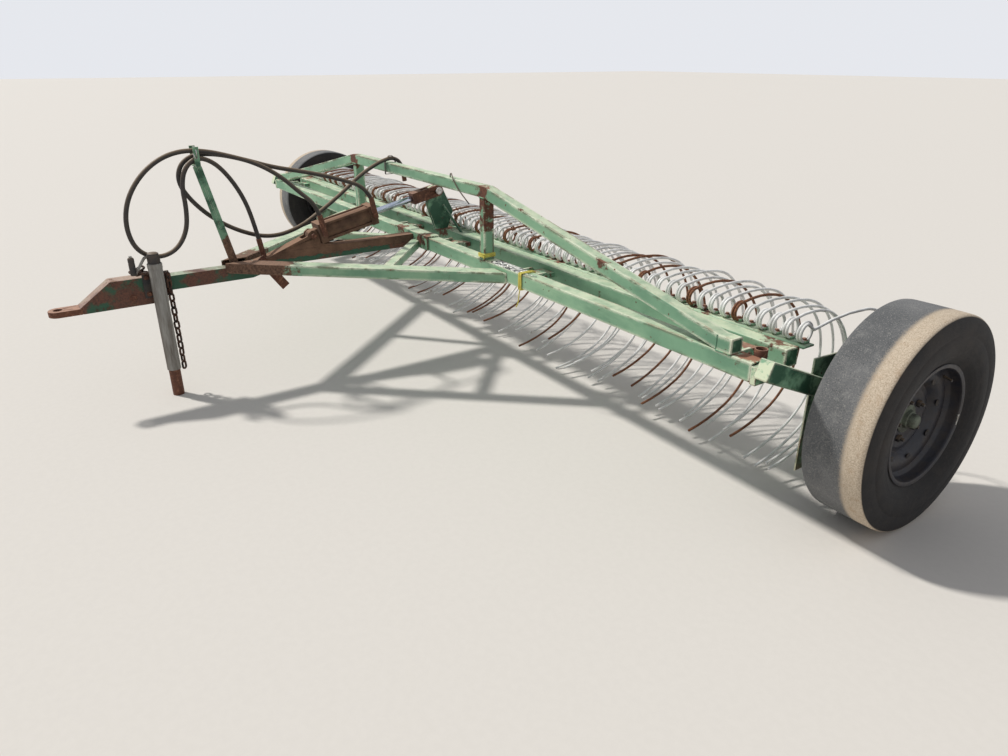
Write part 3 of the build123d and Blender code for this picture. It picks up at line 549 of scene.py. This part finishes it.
def tyre_rubber(name, centre_x, outward):
    """Bald rubber: a grey tread with a sandy band at its outer side, and dark walls."""
    f = Finish(name, srgb(70, 70, 72), 0.85)
    fine = f.noise(260, 6, 0.8)
    middle = f.noise(25, 6, 0.7)
    broad = f.noise(4, 5, 0.6)
    cross = f.math("MULTIPLY", f.math("SUBTRACT", f.axis("X"), centre_x, False), outward, False)
    flat = f.node("ShaderNodeCombineXYZ")
    f.put(flat.inputs[0], f.math("SUBTRACT", f.axis("Y"), axle_y, False))
    f.put(flat.inputs[1], f.math("SUBTRACT", f.axis("Z"), axle_z, False))
    length = f.node("ShaderNodeVectorMath", operation="LENGTH")
    f.put(length.inputs[0], flat.outputs[0])
    tread = f.range(length.outputs["Value"], tyre_radius - 0.009, tyre_radius - 0.005)
    grey = f.mix(f.range(broad, 0.35, 0.65), srgb(84, 86, 88), srgb(106, 107, 108))
    grey = f.mix(f.range(middle, 0.52, 0.72, 0, 0.55), grey, srgb(134, 134, 132))
    grey = f.mix(f.range(fine, 0.54, 0.64), grey, srgb(146, 144, 140))
    grey = f.mix(f.range(fine, 0.46, 0.36), grey, srgb(58, 60, 62))
    wobble = f.swing(fine, 0.045)
    band = f.range(f.math("ADD", cross, wobble, False), 0.026, 0.046)
    sand = f.mix(f.range(fine, 0.38, 0.62), srgb(206, 192, 172), srgb(164, 148, 128))
    sand = f.mix(f.range(middle, 0.5, 0.75, 0, 0.5), sand, srgb(160, 134, 106))
    # Near-black walls: the rubber's own black, darkened further as painted shade
    wall = f.mix(f.range(middle, 0.4, 0.7), srgb(22, 20, 20), srgb(36, 32, 30))
    wall = f.mix(f.range(broad, 0.5, 0.7, 0, 0.35), wall, srgb(58, 50, 44))
    f.colour = f.mix(tread, wall, f.mix(band, grey, sand))
    f.rough = f.range(fine, 0.2, 0.8, 0.72, 0.95)
    return f.done(f.plus(fine, f.times(middle, 0.7)), 0.5, 0.0012)


def plain_finish(name, light, dark, roughness, metallic=0.0, scale=20.0, bump=0.0008, dusty=0.0,
                 stretch=None):
    """A finish that wanders between two screen colours, with fine grain and dust on top."""
    light, dark = srgb(*light), srgb(*dark)
    f = Finish(name, light, roughness, metallic)
    broad = f.noise(scale, 6, 0.65, stretch)
    fine = f.noise(scale * 8, 5, 0.7)
    base = f.mix(f.range(broad, 0.35, 0.68), light, dark)
    base = f.mix(f.range(fine, 0.6, 0.8, 0, 0.4), base, dark)
    if dusty:
        base = f.mix(f.times(f.facing("Z", 0.0, 0.9), dusty), base, dust)
    f.colour = base
    f.rough = f.range(fine, 0.2, 0.8, max(roughness - 0.1, 0.08), min(roughness + 0.12, 1))
    return f.done(fine, 0.4, bump)


def twin_patches(x, y, z, radius, share):
    """The same patch on the right and on the left."""
    return [(at(x, y, z), radius, share), (at(-x, y, z), radius, share)]


# Patches where the paint is gone: place, radius and how much of it
truss_patches = [(at(0.69, 0.0, 0.87), 0.12, 0.42), (at(0.69, 0.05, 0.78), 0.16, 0.45),
                 (at(-0.70, 0.0, 0.88), 0.12, 0.45), (at(1.51, 0.0, 0.735), 0.08, 0.36),
                 (at(0.98, 0.0, 0.86), 0.05, 0.35)]
beam_patches = (twin_patches(2.16, 0.05, 0.60, 0.11, 0.50) + twin_patches(0.12, 0.0, 0.57, 0.14, 0.36)
                + twin_patches(0.69, 0.0, 0.57, 0.10, 0.3))
beam_flakes = (at(0.86, 0.03, 0.58), 0.21)
bar_patches = twin_patches(2.12, 0.24, 0.58, 0.16, 0.36) + [(at(0.0, 0.2, 0.58), 0.2, 0.36)]
brace_patches = [(at(0.06, -0.85, 0.53), 0.42, 0.62)]
holder_patches = [(at(0, -0.93, 0.6), 0.16, 0.5)]

finishes = {
    "truss": painted_green("truss_green", truss_patches),
    "beam": painted_green("beam_green", beam_patches, rusty=0.1, flakes=beam_flakes),
    "bar": painted_green("bar_green", bar_patches, rusty=0.35, deep=0.3),
    "frame": painted_green("frame_green", rusty=0.2),
    # The arm's deep green is partly painted shade on its sides and top; pale_front paints light on the arm's
    # and mount's front faces
    "arm": painted_green("arm_green", rusty=0.15, deep=0.75, pale_front=True, edge_wide=0.008),
    "mount": painted_green("mount_green", rusty=0.6, deep=0.5, pale_front=True, edge_wide=0.008),
    "lever": painted_green("lever_green", rusty=0.1, deep=0.9, edge_wide=0.003),
    "holder": painted_green("holder_green", holder_patches, rusty=0.1, deep=0.6, edge_wide=0.002,
                            under=mud_tones),
    "brace": painted_green("brace_green", brace_patches, rusty=0.1, deep=0.25, under=mud_tones),
    "strip": painted_green("strip_green", rusty=0.8, deep=0.35, edge_wide=0.002),
    "tongue": mud_caked("tongue_mud", 0.45, green_deep, from_y=front_y - 0.86, clean_z=0.540),
    "head": mud_caked("head_rust", 0.30, green_deep, rusty=0.05, faded_and_lit=srgb(190, 160, 142)),
    "cylinder": mud_caked("cylinder_mud", 0.95, srgb(60, 58, 44)),
    "bracket": mud_caked("bracket_mud", 0.85),
    "rust": rusty_steel("rusty_steel"),
    "green_rust": rusty_steel("green_rusty_steel", pale=0.3, green=0.75),
    "pale_rust": rusty_steel("pale_rusty_steel", pale=1.0),
    "tine": tine_steel("tine_wire"),
    "hose": plain_finish("hose_rubber", (34, 31, 30), (58, 50, 44), 0.55, scale=30, bump=0.0006, dusty=0.45),
    # The chrome's darker, bluer patches are painted reflection
    "chrome": plain_finish("rod_chrome", (196, 202, 212), (150, 160, 178), 0.2, metallic=1, scale=12,
                           bump=0.0001),
    "jack": plain_finish("jack_grey", (150, 149, 144), (84, 74, 64), 0.6, scale=26, stretch=(1, 1, 0.12)),
    "black": plain_finish("dull_black", (34, 34, 36), (62, 54, 48), 0.6, dusty=0.3),
    "chain": plain_finish("chain_dark", (44, 36, 32), (92, 62, 46), 0.7, metallic=0.3, scale=60.0),
    "rim": plain_finish("rim_dark", (24, 26, 36), (48, 42, 40), 0.5, scale=16.0),
    "hub": plain_finish("hub_grey_green", (108, 116, 100), (58, 56, 48), 0.7),
    "twine": plain_finish("yellow_twine", (222, 212, 104), (184, 168, 76), 0.8, scale=90.0),
    "bright": plain_finish("bright_steel", (206, 206, 204), (150, 146, 140), 0.35, metallic=0.9, scale=60),
    "tyre_right": tyre_rubber("tyre_rubber_right", wheel_x, 1),
    "tyre_left": tyre_rubber("tyre_rubber_left", -wheel_x, -1),
}

# Which finish each carried-over node gets, and how far its edges are rounded
node_finish = {
    "front_beam": ("beam", tube_corner), "truss_chord": ("truss", tube_corner),
    "truss_posts": ("truss", tube_corner), "saddle_plate": ("beam", 0.001),
    "tongue_tube": ("tongue", tube_corner), "tongue_head": ("head", 0.002),
    "hitch_plate": ("pale_rust", 0.003), "long_braces": ("brace", tube_corner),
    "short_braces": ("brace", tube_corner), "cylinder_bracket": ("bracket", 0.001),
    "cylinder_base_pin": ("rust", 0.0008), "hinge_lugs": ("frame", 0.001),
    "wheel_arms": ("arm", tube_corner), "arm_mounts": ("mount", 0.001),
    "spindles": ("rust", 0.001), "side_shields": ("arm", 0.001), "end_sleeves": ("rust", 0.0006),
    "hose_holder": ("holder", 0.001), "lock_bar": ("rust", 0.001), "jack_plate": ("black", 0.001),
    "jack_tube": ("jack", 0.0006), "jack_leg": ("rust", 0.0006), "tine_tube": ("bar", tube_corner),
    "lever_plate": ("lever", 0.001), "hinge_ears": ("green_rust", 0.0008),
    "cylinder_barrel": ("cylinder", 0.0006), "cylinder_base_head": ("cylinder", 0.002),
    "cylinder_rod_head": ("cylinder", 0.002), "cylinder_ports": ("rust", 0.0008),
    "cylinder_tie_rods": ("cylinder", 0.0004), "piston_rod": ("chrome", 0.0004),
    "rod_clevis": ("rust", 0.0015), "eye_pin_ends": ("bright", 0.0008),
    "eye_pin_middle": ("bright", 0.0004), "base_hose_coupler": ("rust", 0.0008),
    "rod_hose_coupler": ("rust", 0.0008),
}


def dress_nodes():
    for name, (finish, corner) in node_finish.items():
        thing = nodes[name]
        for place in thing.material_slots:
            place.material = finishes[finish]
        round_edges(thing, corner)


# Hoses
def make_hose(name, route):
    """One hose on its smooth line, in place of its solid."""
    curve = bpy.data.curves.new(name, "CURVE")
    curve.dimensions = "3D"
    spline = curve.splines.new("NURBS")
    spline.points.add(len(route) - 1)
    for point, (x, y, z) in zip(spline.points, route):
        point.co = (x, y + front_y, z, 1)
    spline.order_u = 3
    spline.use_endpoint_u = True
    spline.resolution_u = 10
    curve.bevel_depth = hose_radius
    curve.bevel_resolution = 6
    curve.use_fill_caps = True
    curve.materials.append(finishes["hose"])
    hose = bpy.data.objects.new(name + "_line", curve)
    link(hose)
    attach(hose, "root")
    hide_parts(name)


def make_hoses():
    make_hose("base_hose", base_hose_route)
    make_hose("rod_hose", rod_hose_route)

    crimps = Build()
    ferrule = [(-0.006, 0.0128), (0.0, 0.0136), (0.004, 0.0128), (0.009, 0.0136), (0.013, 0.0128),
               (0.018, 0.0136), (0.022, 0.0128), (0.034, 0.0128), (0.036, 0.0112)]
    for route in (base_hose_route, rod_hose_route):
        start, end = at(*route[0]), at(*route[1])
        way = (end - start).normalized()
        crimps.lathe(start, way, ferrule, 20)
    crimps.make("hose_crimps", ["rust"], "cylinder", "rusty_steel")

    ties = Build()
    over_fork = [(-0.046, 1.030), (-0.046, 1.058), (-0.036, 1.0675), (-0.008, 1.0705), (0.020, 1.0675),
                 (0.030, 1.058), (0.030, 1.030)]
    ties.tube([at(x, fork_y, z) for x, z in over_fork], 0.0022)
    twist = [(0.030, -1.026, 1.030), (0.036, -1.030, 1.026), (0.041, -1.036, 1.034), (0.044, -1.040, 1.048)]
    ties.tube([at(*p) for p in twist], 0.0030)
    ties.make("holder_tie", ["bright"], "root", "rusty_steel")

    band = Build()
    loop = [(-0.006, 0.846), (0.056, 0.846), (0.056, 0.905), (0.050, 0.926), (0.036, 0.9405),
            (0.020, 0.9405), (0.004, 0.926), (-0.006, 0.905)]
    band.strap([at(-0.266, y, z) for y, z in loop], 0.002, 0.014, (1, 0, 0))
    band.make("chord_band", ["black"], "root", "dark_paint")


# Tines
coil_y = tine_tube_high.y + strip_wide / 2 + coil_past_strip
coil_z = beam_top + coil_radius + wire_radius


def bend_along(start, heading, bends, scale, step=6.0):
    """Points (y, z) of a wire that starts with a heading and follows arcs to their end headings."""
    y, z = start
    points = [(y, z)]
    for radius, end_heading in bends:
        steps = ceil((heading - end_heading) / step)
        turn = (heading - end_heading) / steps
        for _ in range(steps):
            a, b = radians(heading), radians(heading - turn)
            y += radius * scale * (sin(a) - sin(b))
            z += radius * scale * (cos(b) - cos(a))
            points.append((y, z))
            heading -= turn
    return points


def tine_path(x, hoop, tilt, bow, lean):
    """One tine: its coil on the strip, then its hoop, tilted about the coil and bent sideways."""
    width = coil_turns * coil_pitch
    coil_steps = 40
    path = []
    for i in range(coil_steps):
        share = i / coil_steps
        turn = -pi / 2 - 2 * pi * coil_turns * share
        path.append(Vector((x - width / 2 + width * share, coil_y + coil_radius * cos(turn),
                            coil_z + coil_radius * sin(turn))))
    for i, (y, z) in enumerate(hoop):
        share = i / (len(hoop) - 1)
        angle = tilt * min(1, share * 4)
        dy, dz = y - coil_y, z - coil_z
        height = coil_z + dy * sin(angle) + dz * cos(angle)
        path.append(Vector((x + width / 2 + bow * sin(pi * share) + lean * share * share,
                            coil_y + dy * cos(angle) - dz * sin(angle), max(height, lowest_tip))))
    return path


def tine_age(rng):
    """How far a tine has rusted, 0 to 1: most are clean, a few stained and the rest brown."""
    drawn = rng.random()
    if drawn < 0.66:
        return 0.10
    if drawn < 0.78:
        return 0.42
    return rng.uniform(0.65, 1.0)


def make_tines():
    """The tines on their strip, gang by gang. The two at the right end are bent out."""
    rng = random.Random(11)
    total = gang_count * tines_per_gang
    clamp_top = beam_top + 2 * wire_radius
    for g in range(gang_count):
        gang = "tine_gang_%d" % (g + 1)
        low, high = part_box(gang)
        build = Build()
        for number in range(g * tines_per_gang, (g + 1) * tines_per_gang):
            x = (2 * number / (total - 1) - 1) * tine_reach
            age = tine_age(rng)
            tilt = radians(rng.gauss(0, 2.2))
            scale = max(0.87, min(rng.gauss(0.95, 0.04), 1.03))
            bow = rng.gauss(0, 0.010)
            lean = rng.gauss(0, 0.016)
            if number == total - 2:
                tilt, scale, age = radians(-5.5), 0.93, 0.30
            hoop = bend_along((coil_y, coil_z + coil_radius), hoop_start_heading, hoop_bends, scale)
            if number == total - 1:
                hoop = bend_along((coil_y + 0.030, coil_z + 0.004), sprung_start_heading, sprung_bends, 1.0)
                tilt, bow, lean, age = 0.0, 0.01, 0.0, 0.05
            build.tube(tine_path(x, hoop, tilt, bow, lean), wire_radius, value=age)
            build.block((x - clamp_half, coil_y - clamp_front, beam_top),
                        (x + clamp_half, coil_y + clamp_rear, clamp_top), 1)
            build.bolt((x, coil_y, clamp_top), (0, 0, 1), 0.013, 2, rng.uniform(0, 1))
        build.block((low.x, tine_tube_high.y, beam_top - strip_thick),
                    (high.x, tine_tube_high.y + strip_wide, beam_top), 1)
        build.make("tines_%d" % (g + 1), ["tine", "strip", "rust"], "tine_bar", "tine_wire", [gang])


# Wheels
def make_wheel(side):
    """Tyre, rim and hub; side is 1 at the right and -1 at the left."""
    name = "right" if side > 0 else "left"
    centre = Vector((side * wheel_x, axle_y, axle_z))
    body = "wheel_" + name

    def spun(build, profile, steps):
        build.turned([(side * w, r) for w, r in profile][::side], centre, steps)

    def on_disc(offset, radius, turn):
        return centre + Vector((side * offset, radius * cos(turn), radius * sin(turn)))

    # Outlines as (offset from the wheel's middle, radius)
    half = [(0.074, 0.3455), (0.076, 0.25), (0.074, 0.197), (0.0845, 0.1965), (0.0855, 0.206),
            (0.0885, 0.214), (0.095, 0.222), (0.100, 0.2285), (0.1035, 0.238), (0.1065, 0.243),
            (0.1065, 0.247), (0.1075, 0.249), (0.1090, 0.262), (0.1100, 0.264), (0.1105, 0.282),
            (0.1110, 0.300), (0.1100, 0.302), (0.1100, 0.308), (0.1105, 0.310), (0.1090, 0.330),
            (0.1065, 0.346), (0.1035, 0.3555), (0.1000, 0.3615), (0.0955, 0.3645), (0.088, 0.3658),
            (0.074, 0.3662), (0.050, 0.3664), (0.025, 0.3668)]
    tyre = Build()
    spun(tyre, half + [(-w, r) for w, r in half[::-1]], tyre_steps)
    tyre.make("tyre_" + name + "_skin", ["tyre_" + name], body, "tyre", ["tyre_" + name])

    rim = Build()
    well = [(0.0835, 0.2035), (0.0845, 0.2000), (0.0885, 0.2040), (0.0900, 0.2030), (0.0900, 0.2000),
            (0.0880, 0.1935), (0.0860, 0.1925), (0.0800, 0.1920), (0.0560, 0.1895), (0.0520, 0.1880),
            (0.0440, 0.1760), (0.0420, 0.1750), (0.0340, 0.1750)]
    inner = [(-w, r) for w, r in well[::-1]]
    back = [(-w, r + 0.0030) for w, r in well[2:]] + [(w, r + 0.0030) for w, r in well[2:][::-1]]
    spun(rim, well + inner + back, rim_steps)
    dish = [(0.0400, 0.1760), (0.0440, 0.1750), (0.0450, 0.1640), (0.0440, 0.1520), (0.0400, 0.1400),
            (0.0300, 0.1280), (0.0180, 0.1180), (0.0175, 0.1100), (0.0210, 0.1040), (0.0215, 0.0960),
            (0.0185, 0.0900), (0.0180, 0.0700), (0.0180, 0.0480)]
    spun(rim, dish + [(w - 0.004, r - 0.001) for w, r in dish[::-1]], rim_steps)
    for i in range(rim_rivets):
        rim.prism(on_disc(0.0405, 0.1405, 2 * pi * i / rim_rivets + 0.2), (side, 0, 0), 0.0115, 0.0016, 16, 1)
    # Balance weight and valve
    weight = on_disc(0.0885, 0.1985, -0.15)
    rim.block(weight - Vector((0.0015, 0.006, 0.019)), weight + Vector((0.0015, 0.004, 0.019)), 2)
    rim.tube([on_disc(0.052, 0.170, 0.9), on_disc(0.082, 0.164, 0.9)], 0.0042, 10, 1)
    rim.make("rim_" + name + "_skin", ["rim", "black", "bright"], body, "rim_paint", ["rim_" + name],
             sharp=True)

    hub = Build()
    hub_low, hub_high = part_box("hub_" + name)
    inward = (hub_low.x if side > 0 else -hub_high.x) - wheel_x
    barrel = [(inward, 0.0262), (inward, 0.044), (-0.060, 0.045), (0.002, 0.047), (0.006, 0.050),
              (0.006, 0.0845), (0.0075, 0.086), (0.0125, 0.086), (0.0139, 0.0845), (0.0139, 0.0475),
              (0.022, 0.0475), (0.023, 0.0310), (0.034, 0.0300), (0.036, 0.0240), (0.052, 0.0230),
              (0.0565, 0.0190), (0.058, 0.0140), (0.058, 0.0002), (0.030, 0.0002), (0.030, 0.0262)]
    spun(hub, barrel, hub_steps)
    for i in range(wheel_nuts):
        turn = 2 * pi * i / wheel_nuts + 0.6
        hub.prism(on_disc(0.0182, nut_circle, turn), (side, 0, 0), 0.0125, 0.012, 6, 1, turn)
        hub.prism(on_disc(0.0302, nut_circle, turn), (side, 0, 0), 0.0060, 0.010, 10, 1)
    hub.make("hub_" + name + "_skin", ["hub", "black"], body, "hub_paint", ["hub_" + name], sharp=True)


# Jack, its crank and the chain
def chain_link(build, middle, along, across):
    """One round link: two straight sides and two half turns."""
    along, across = Vector(along).normalized(), Vector(across).normalized()
    end = link_wide / 2 - chain_wire
    reach = link_long / 2 - link_wide / 2
    path = []
    for sign in (1, -1):
        for i in range(9):
            t = pi * i / 8
            path.append(Vector(middle) + along * sign * (reach + end * sin(t)) + across * sign * end * cos(t))
    build.tube(path, chain_wire, closed=True)


def make_chain():
    """The chain on the jack's plate, and the links heaped at the crank's foot."""
    rng = random.Random(5)
    chain = Build()
    chain_y = (chain_low.y + chain_high.y) / 2
    first_z = chain_high.z - link_long / 2
    for i in range(round((chain_high.z - chain_low.z - link_long) / link_step) + 1):
        spin = (pi / 2 if i % 2 else 0) + rng.uniform(-0.2, 0.2) + 0.5
        along = (rng.uniform(-0.05, 0.05), rng.uniform(-0.05, 0.05), 1)
        middle = (jack_x - 0.010, chain_y, first_z - i * link_step)
        chain_link(chain, middle, along, (cos(spin), sin(spin), 0))
    pin_z = chain_high.z - 0.0135
    chain.tube([(plate_high.x - 0.004, chain_y, pin_z), (jack_x + 0.002, chain_y, pin_z)], 0.0058, 10)
    chain.make("chain_links", ["chain"], "root", "rusty_steel", ["safety_chain"])

    heap = Build()
    foot = Vector((jack_x, crank_low.y + 0.013, crank_low.z))
    wraps = [((-0.018, 0.010, 0.014), (1, 0.2, 0.1)), ((-0.030, 0.030, 0.006), (0.3, 1, 0.3)),
             ((-0.004, 0.036, 0.012), (0.9, -0.4, 0.3)), ((-0.044, 0.008, 0.010), (0.5, 0.9, -0.2)),
             ((-0.022, 0.052, 0.008), (1, 0.5, 0.0)), ((-0.040, 0.034, 0.024), (-0.5, 0.8, 0.3))]
    for offset, along in wraps:
        chain_link(heap, foot + Vector(offset), along, Vector(along).cross(Vector((0.3, 0.2, 1))))
    heap.make("chain_heap", ["chain"], "root", "rusty_steel")


def make_jack():
    cap = Build()
    top = Vector((jack_x, jack_y, cap_low.z))
    r = (cap_high.x - cap_low.x) / 2
    tall = cap_high.z - cap_low.z
    rings = [(0.0, r * 0.98), (0.004, r), (tall * 0.62, r), (tall * 0.70, r * 0.94), (tall * 0.92, r * 0.86),
             (tall, r * 0.66)]
    cap.lathe(top, up, rings, 32)
    collar = circle(top - Vector((0, 0, 0.012)), Vector((1, 0, 0)), Vector((0, 1, 0)),
                    (jack_high.x - jack_low.x) / 2 + 0.0006, 32)
    cap.strap(collar, 0.0018, 0.020, (0, 0, 1), 1)
    cap.make("jack_cap_top", ["black", "jack"], "root", "dark_paint", ["jack_cap"], sharp=True)

    crank = Build()
    start = Vector((jack_x, jack_y - r + 0.002, cap_high.z - 0.017))
    knee = Vector((jack_x, crank_low.y + 0.013, crank_low.z + 0.004))
    arm = [start, start + Vector((0, -0.006, 0)), start + Vector((0, -0.012, -0.003)),
           start + Vector((0, -0.018, -0.010)), knee + Vector((0, 0.014, 0.016)),
           knee + Vector((0, 0.006, 0.006)), knee + Vector((0, 0, 0.008)), knee + Vector((0, 0, 0.024)),
           Vector((knee.x, knee.y, crank_high.z - 0.003))]
    crank.tube(arm, 0.0062, 12, 1)
    grip = [(0.010, 0.0105), (0.014, 0.0125), (0.030, 0.0130), (0.034, 0.0122), (0.038, 0.0130),
            (0.060, 0.0130), (0.064, 0.0122), (0.068, 0.0130), (0.082, 0.0128), (0.0865, 0.0100)]
    crank.lathe(knee - up * 0.006, up, grip, 20)
    crank.make("jack_crank_handle", ["black", "jack"], "root", "dark_paint", ["jack_crank"], sharp=True)


# Bolts, caps, welds and bindings
def make_bolts():
    """Bolts on the jack's plate and the tongue's head."""
    rng = random.Random(3)
    bolts = Build()
    inset = 0.018
    for y in (plate_low.y + inset, plate_high.y - inset):
        for z in (plate_low.z + inset, plate_high.z - inset):
            bolts.bolt((plate_high.x, y, z), (1, 0, 0), 0.014, 0, rng.uniform(0, 1))
    for side in (-1, 1):
        for y, z in ((0.21, 0.04), (0.30, 0.07)):
            spot = (head_high.x if side > 0 else head_low.x, head_low.y + y, head_low.z + z)
            bolts.bolt(spot, (side, 0, 0), 0.018, 0, rng.uniform(0, 1))
    bolts.make("frame_bolts", ["rust"], "root", "rusty_steel", sharp=True)


def make_caps():
    """Flat caps in the ends of the chord and the tine bar."""
    caps, plugs = Build(), Build()
    half_thick, sunk = 0.002, 0.0024
    cap_inset, plug_inset = 0.002, 0.003
    for side in (-1, 1):
        x = side * (chord_high.x - sunk)
        caps.block((x - half_thick, front_y + cap_inset, beam_top + cap_inset),
                   (x + half_thick, front_y + tube_size - cap_inset, beam_top + tube_size - cap_inset))
        x = side * (tine_tube_high.x - sunk)
        plugs.block((x - half_thick, tine_tube_low.y + plug_inset, tine_tube_low.z + plug_inset),
                    (x + half_thick, tine_tube_high.y - plug_inset, tine_tube_high.z - plug_inset))
    caps.make("chord_caps", ["arm"], "root", "green_paint", smooth=False)
    plugs.make("bar_plugs", ["arm"], "tine_bar", "green_paint", smooth=False)


def make_holder_web():
    """The hose holder's second leg, a plate that faces sideways from the tongue up to the fork."""
    low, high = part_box("hose_holder")
    fork_foot = high.z - 0.084
    foot_y = -0.924
    half_wide, outer, thick = 0.0185, 0.0056, 0.005
    corners = [at(0, foot_y - half_wide, low.z), at(0, foot_y + half_wide, low.z),
               at(0, fork_y + half_wide, fork_foot), at(0, fork_y - half_wide, fork_foot)]
    web = Build()
    web.rings([[c + Vector((x, 0, 0)) for c in corners] for x in (outer - thick, outer)])
    thing = web.make("holder_web", ["holder"], "root", "green_paint", smooth=False)
    round_edges(thing, 0.001)


def make_welds():
    """Beads round the truss posts' ends, and where the chord meets the beam."""
    rng = random.Random(4)
    welds = Build()
    ripple = 0.004

    def bead(start, end, radius=0.0032):
        steps = max(4, round((end - start).length / ripple))
        path = [start.lerp(end, i / steps) for i in range(steps + 1)]
        welds.tube(path, [radius * rng.uniform(0.75, 1.15) for _ in path])

    for side in (-1, 1):
        inner, outer = side * post_inner, side * post_outer
        for z in (beam_top, chord_high.z - tube_size):
            bead(at(inner, 0, z), at(outer, 0, z))
            bead(at(inner, tube_size, z), at(outer, tube_size, z))
            bead(at(inner, 0, z), at(inner, tube_size, z))
            bead(at(outer, 0, z), at(outer, tube_size, z))
        foot, end = side * (chord_high.x - 0.06), side * chord_high.x
        bead(at(foot, 0, beam_top), at(end, 0, beam_top))
        bead(at(end, 0, beam_top), at(end, tube_size, beam_top))
        bead(at(foot, 0, beam_top), at(foot, 0, beam_top + tube_size), 0.0024)
    welds.make("weld_beads", ["green_rust"], "root", "green_paint")


def wind(build, corners, radius, turns, shift, rng):
    """A cord wound round a box section, its corners given in order."""
    stray = 0.003
    path = []
    for turn in range(turns):
        for i, corner in enumerate(corners):
            share = (turn + i / len(corners)) / turns
            path.append(corner + Vector(shift) * share + Vector((rng.uniform(-1, 1), 0, 0)) * stray)
    dense = []
    for a, b in zip(path, path[1:]):
        dense += [a.lerp(b, t / 3) for t in range(3)]
    build.tube(dense + [path[-1]], radius, 6)


def make_bindings():
    """Twine round the beam and a truss post, and scraps of wire."""
    rng = random.Random(9)
    twine = Build()
    twine_radius = 0.0028
    section = [(-0.004, beam_low.z - 0.004), (-0.004, beam_top + 0.004), (0.0675, beam_top + 0.004),
               (0.0675, beam_low.z - 0.004)]
    wind(twine, [at(0.985, y, z) for y, z in section], twine_radius, 4, (0.022, 0, 0), rng)
    end = [(0.995, -0.004, 0.514), (0.992, -0.006, 0.490), (0.985, -0.004, 0.462), (0.975, -0.002, 0.440),
           (0.962, 0.0, 0.425)]
    twine.tube([at(*p) for p in end], 0.0024, 6)
    post = [(post_inner - 0.004, -0.004), (post_outer + 0.004, -0.004),
            (post_outer + 0.004, tube_size + 0.004), (post_inner - 0.004, tube_size + 0.004)]
    wind(twine, [at(x, y, 0.592) for x, y in post], twine_radius, 4, (0, 0, 0.018), rng)
    knot = [(0.716, -0.006, 0.604), (0.724, -0.012, 0.612), (0.730, -0.006, 0.606), (0.724, -0.002, 0.600),
            (0.718, -0.010, 0.598), (0.728, -0.014, 0.592)]
    twine.tube([at(*p) for p in knot], 0.0034, 6)
    twine.make("twine", ["twine"], "root", "green_paint")

    wire = Build()
    bent = [(0.384, 0.020, 0.908), (0.400, 0.012, 0.925), (0.424, 0.004, 0.930), (0.445, -0.004, 0.918),
            (0.462, -0.006, 0.900), (0.500, -0.006, 0.868), (0.545, -0.004, 0.840), (0.590, -0.004, 0.815)]
    wire.tube([at(*p) for p in bent], 0.0028)
    for i in range(7):
        x = 0.80 + 0.04 * i + rng.uniform(-0.008, 0.008)
        y = rng.uniform(0.010, 0.026)
        kink_y = y + rng.uniform(-0.005, 0.005)
        wire.tube([at(x, y, beam_top + 0.003), at(x + 0.018, kink_y, beam_top + 0.005),
                   at(x + 0.040, y + 0.008, beam_top + 0.0025)], 0.0018, 6, 1)
    wire.make("old_wire", ["black", "bright"], "root", "dark_paint")


# Stage, lights and camera
def make_stage():
    pale = Finish("pale_floor", srgb(214, 210, 204), 0.9)
    pale.colour = pale.mix(pale.range(pale.noise(40, 3), 0.3, 0.7), srgb(215, 211, 205), srgb(213, 209, 203))
    far = 60
    corners = [(-far, -far, 0), (far, -far, 0), (far, far, 0), (-far, far, 0)]
    floor = mesh_object("floor", corners, [(0, 1, 2, 3)], [pale.done()], False)

    world = bpy.data.worlds.new("studio")
    bpy.context.scene.world = world
    world.use_nodes = True
    tree = world.node_tree
    back = tree.nodes["Background"]
    rays = tree.nodes.new("ShaderNodeLightPath").outputs
    seen = rays["Is Camera Ray"]
    for ray in ("Is Glossy Ray", "Is Transmission Ray"):
        most = tree.nodes.new("ShaderNodeMath")
        most.operation = "MAXIMUM"
        tree.links.new(seen, most.inputs[0])
        tree.links.new(rays[ray], most.inputs[1])
        seen = most.outputs[0]
    light_level, seen_level = 0.42, 0.85
    level = tree.nodes.new("ShaderNodeMix")
    level.data_type = "FLOAT"
    tree.links.new(seen, level.inputs[0])
    level.inputs[2].default_value = light_level
    level.inputs[3].default_value = seen_level
    back.inputs["Color"].default_value = (0.93, 0.95, 1.0, 1)
    tree.links.new(level.outputs[0], back.inputs["Strength"])

    lamp = bpy.data.lights.new("sun", "SUN")
    lamp.energy = 3.1
    lamp.angle = radians(4)
    lamp.color = (1.0, 0.97, 0.92)
    sun = bpy.data.objects.new("sun", lamp)
    sun.rotation_euler = Vector((-0.56, -0.36, 0.75)).to_track_quat("Z", "Y").to_euler()
    link(sun)


def make_camera():
    camera = bpy.data.cameras.new("camera")
    camera.lens = camera_lens
    camera.sensor_width = 36
    camera.clip_end = 500
    thing = bpy.data.objects.new("camera", camera)
    thing.location = camera_place
    thing.rotation_euler = [radians(a) for a in camera_turn]
    link(thing)
    bpy.context.scene.camera = thing


make_camera()
make_stage()
dress_nodes()
make_hoses()
make_tines()
for side in (1, -1):
    make_wheel(side)
make_chain()
make_jack()
make_bolts()
make_caps()
make_holder_web()
make_welds()
make_bindings()

bpy.context.scene.view_settings.view_transform = "Standard"
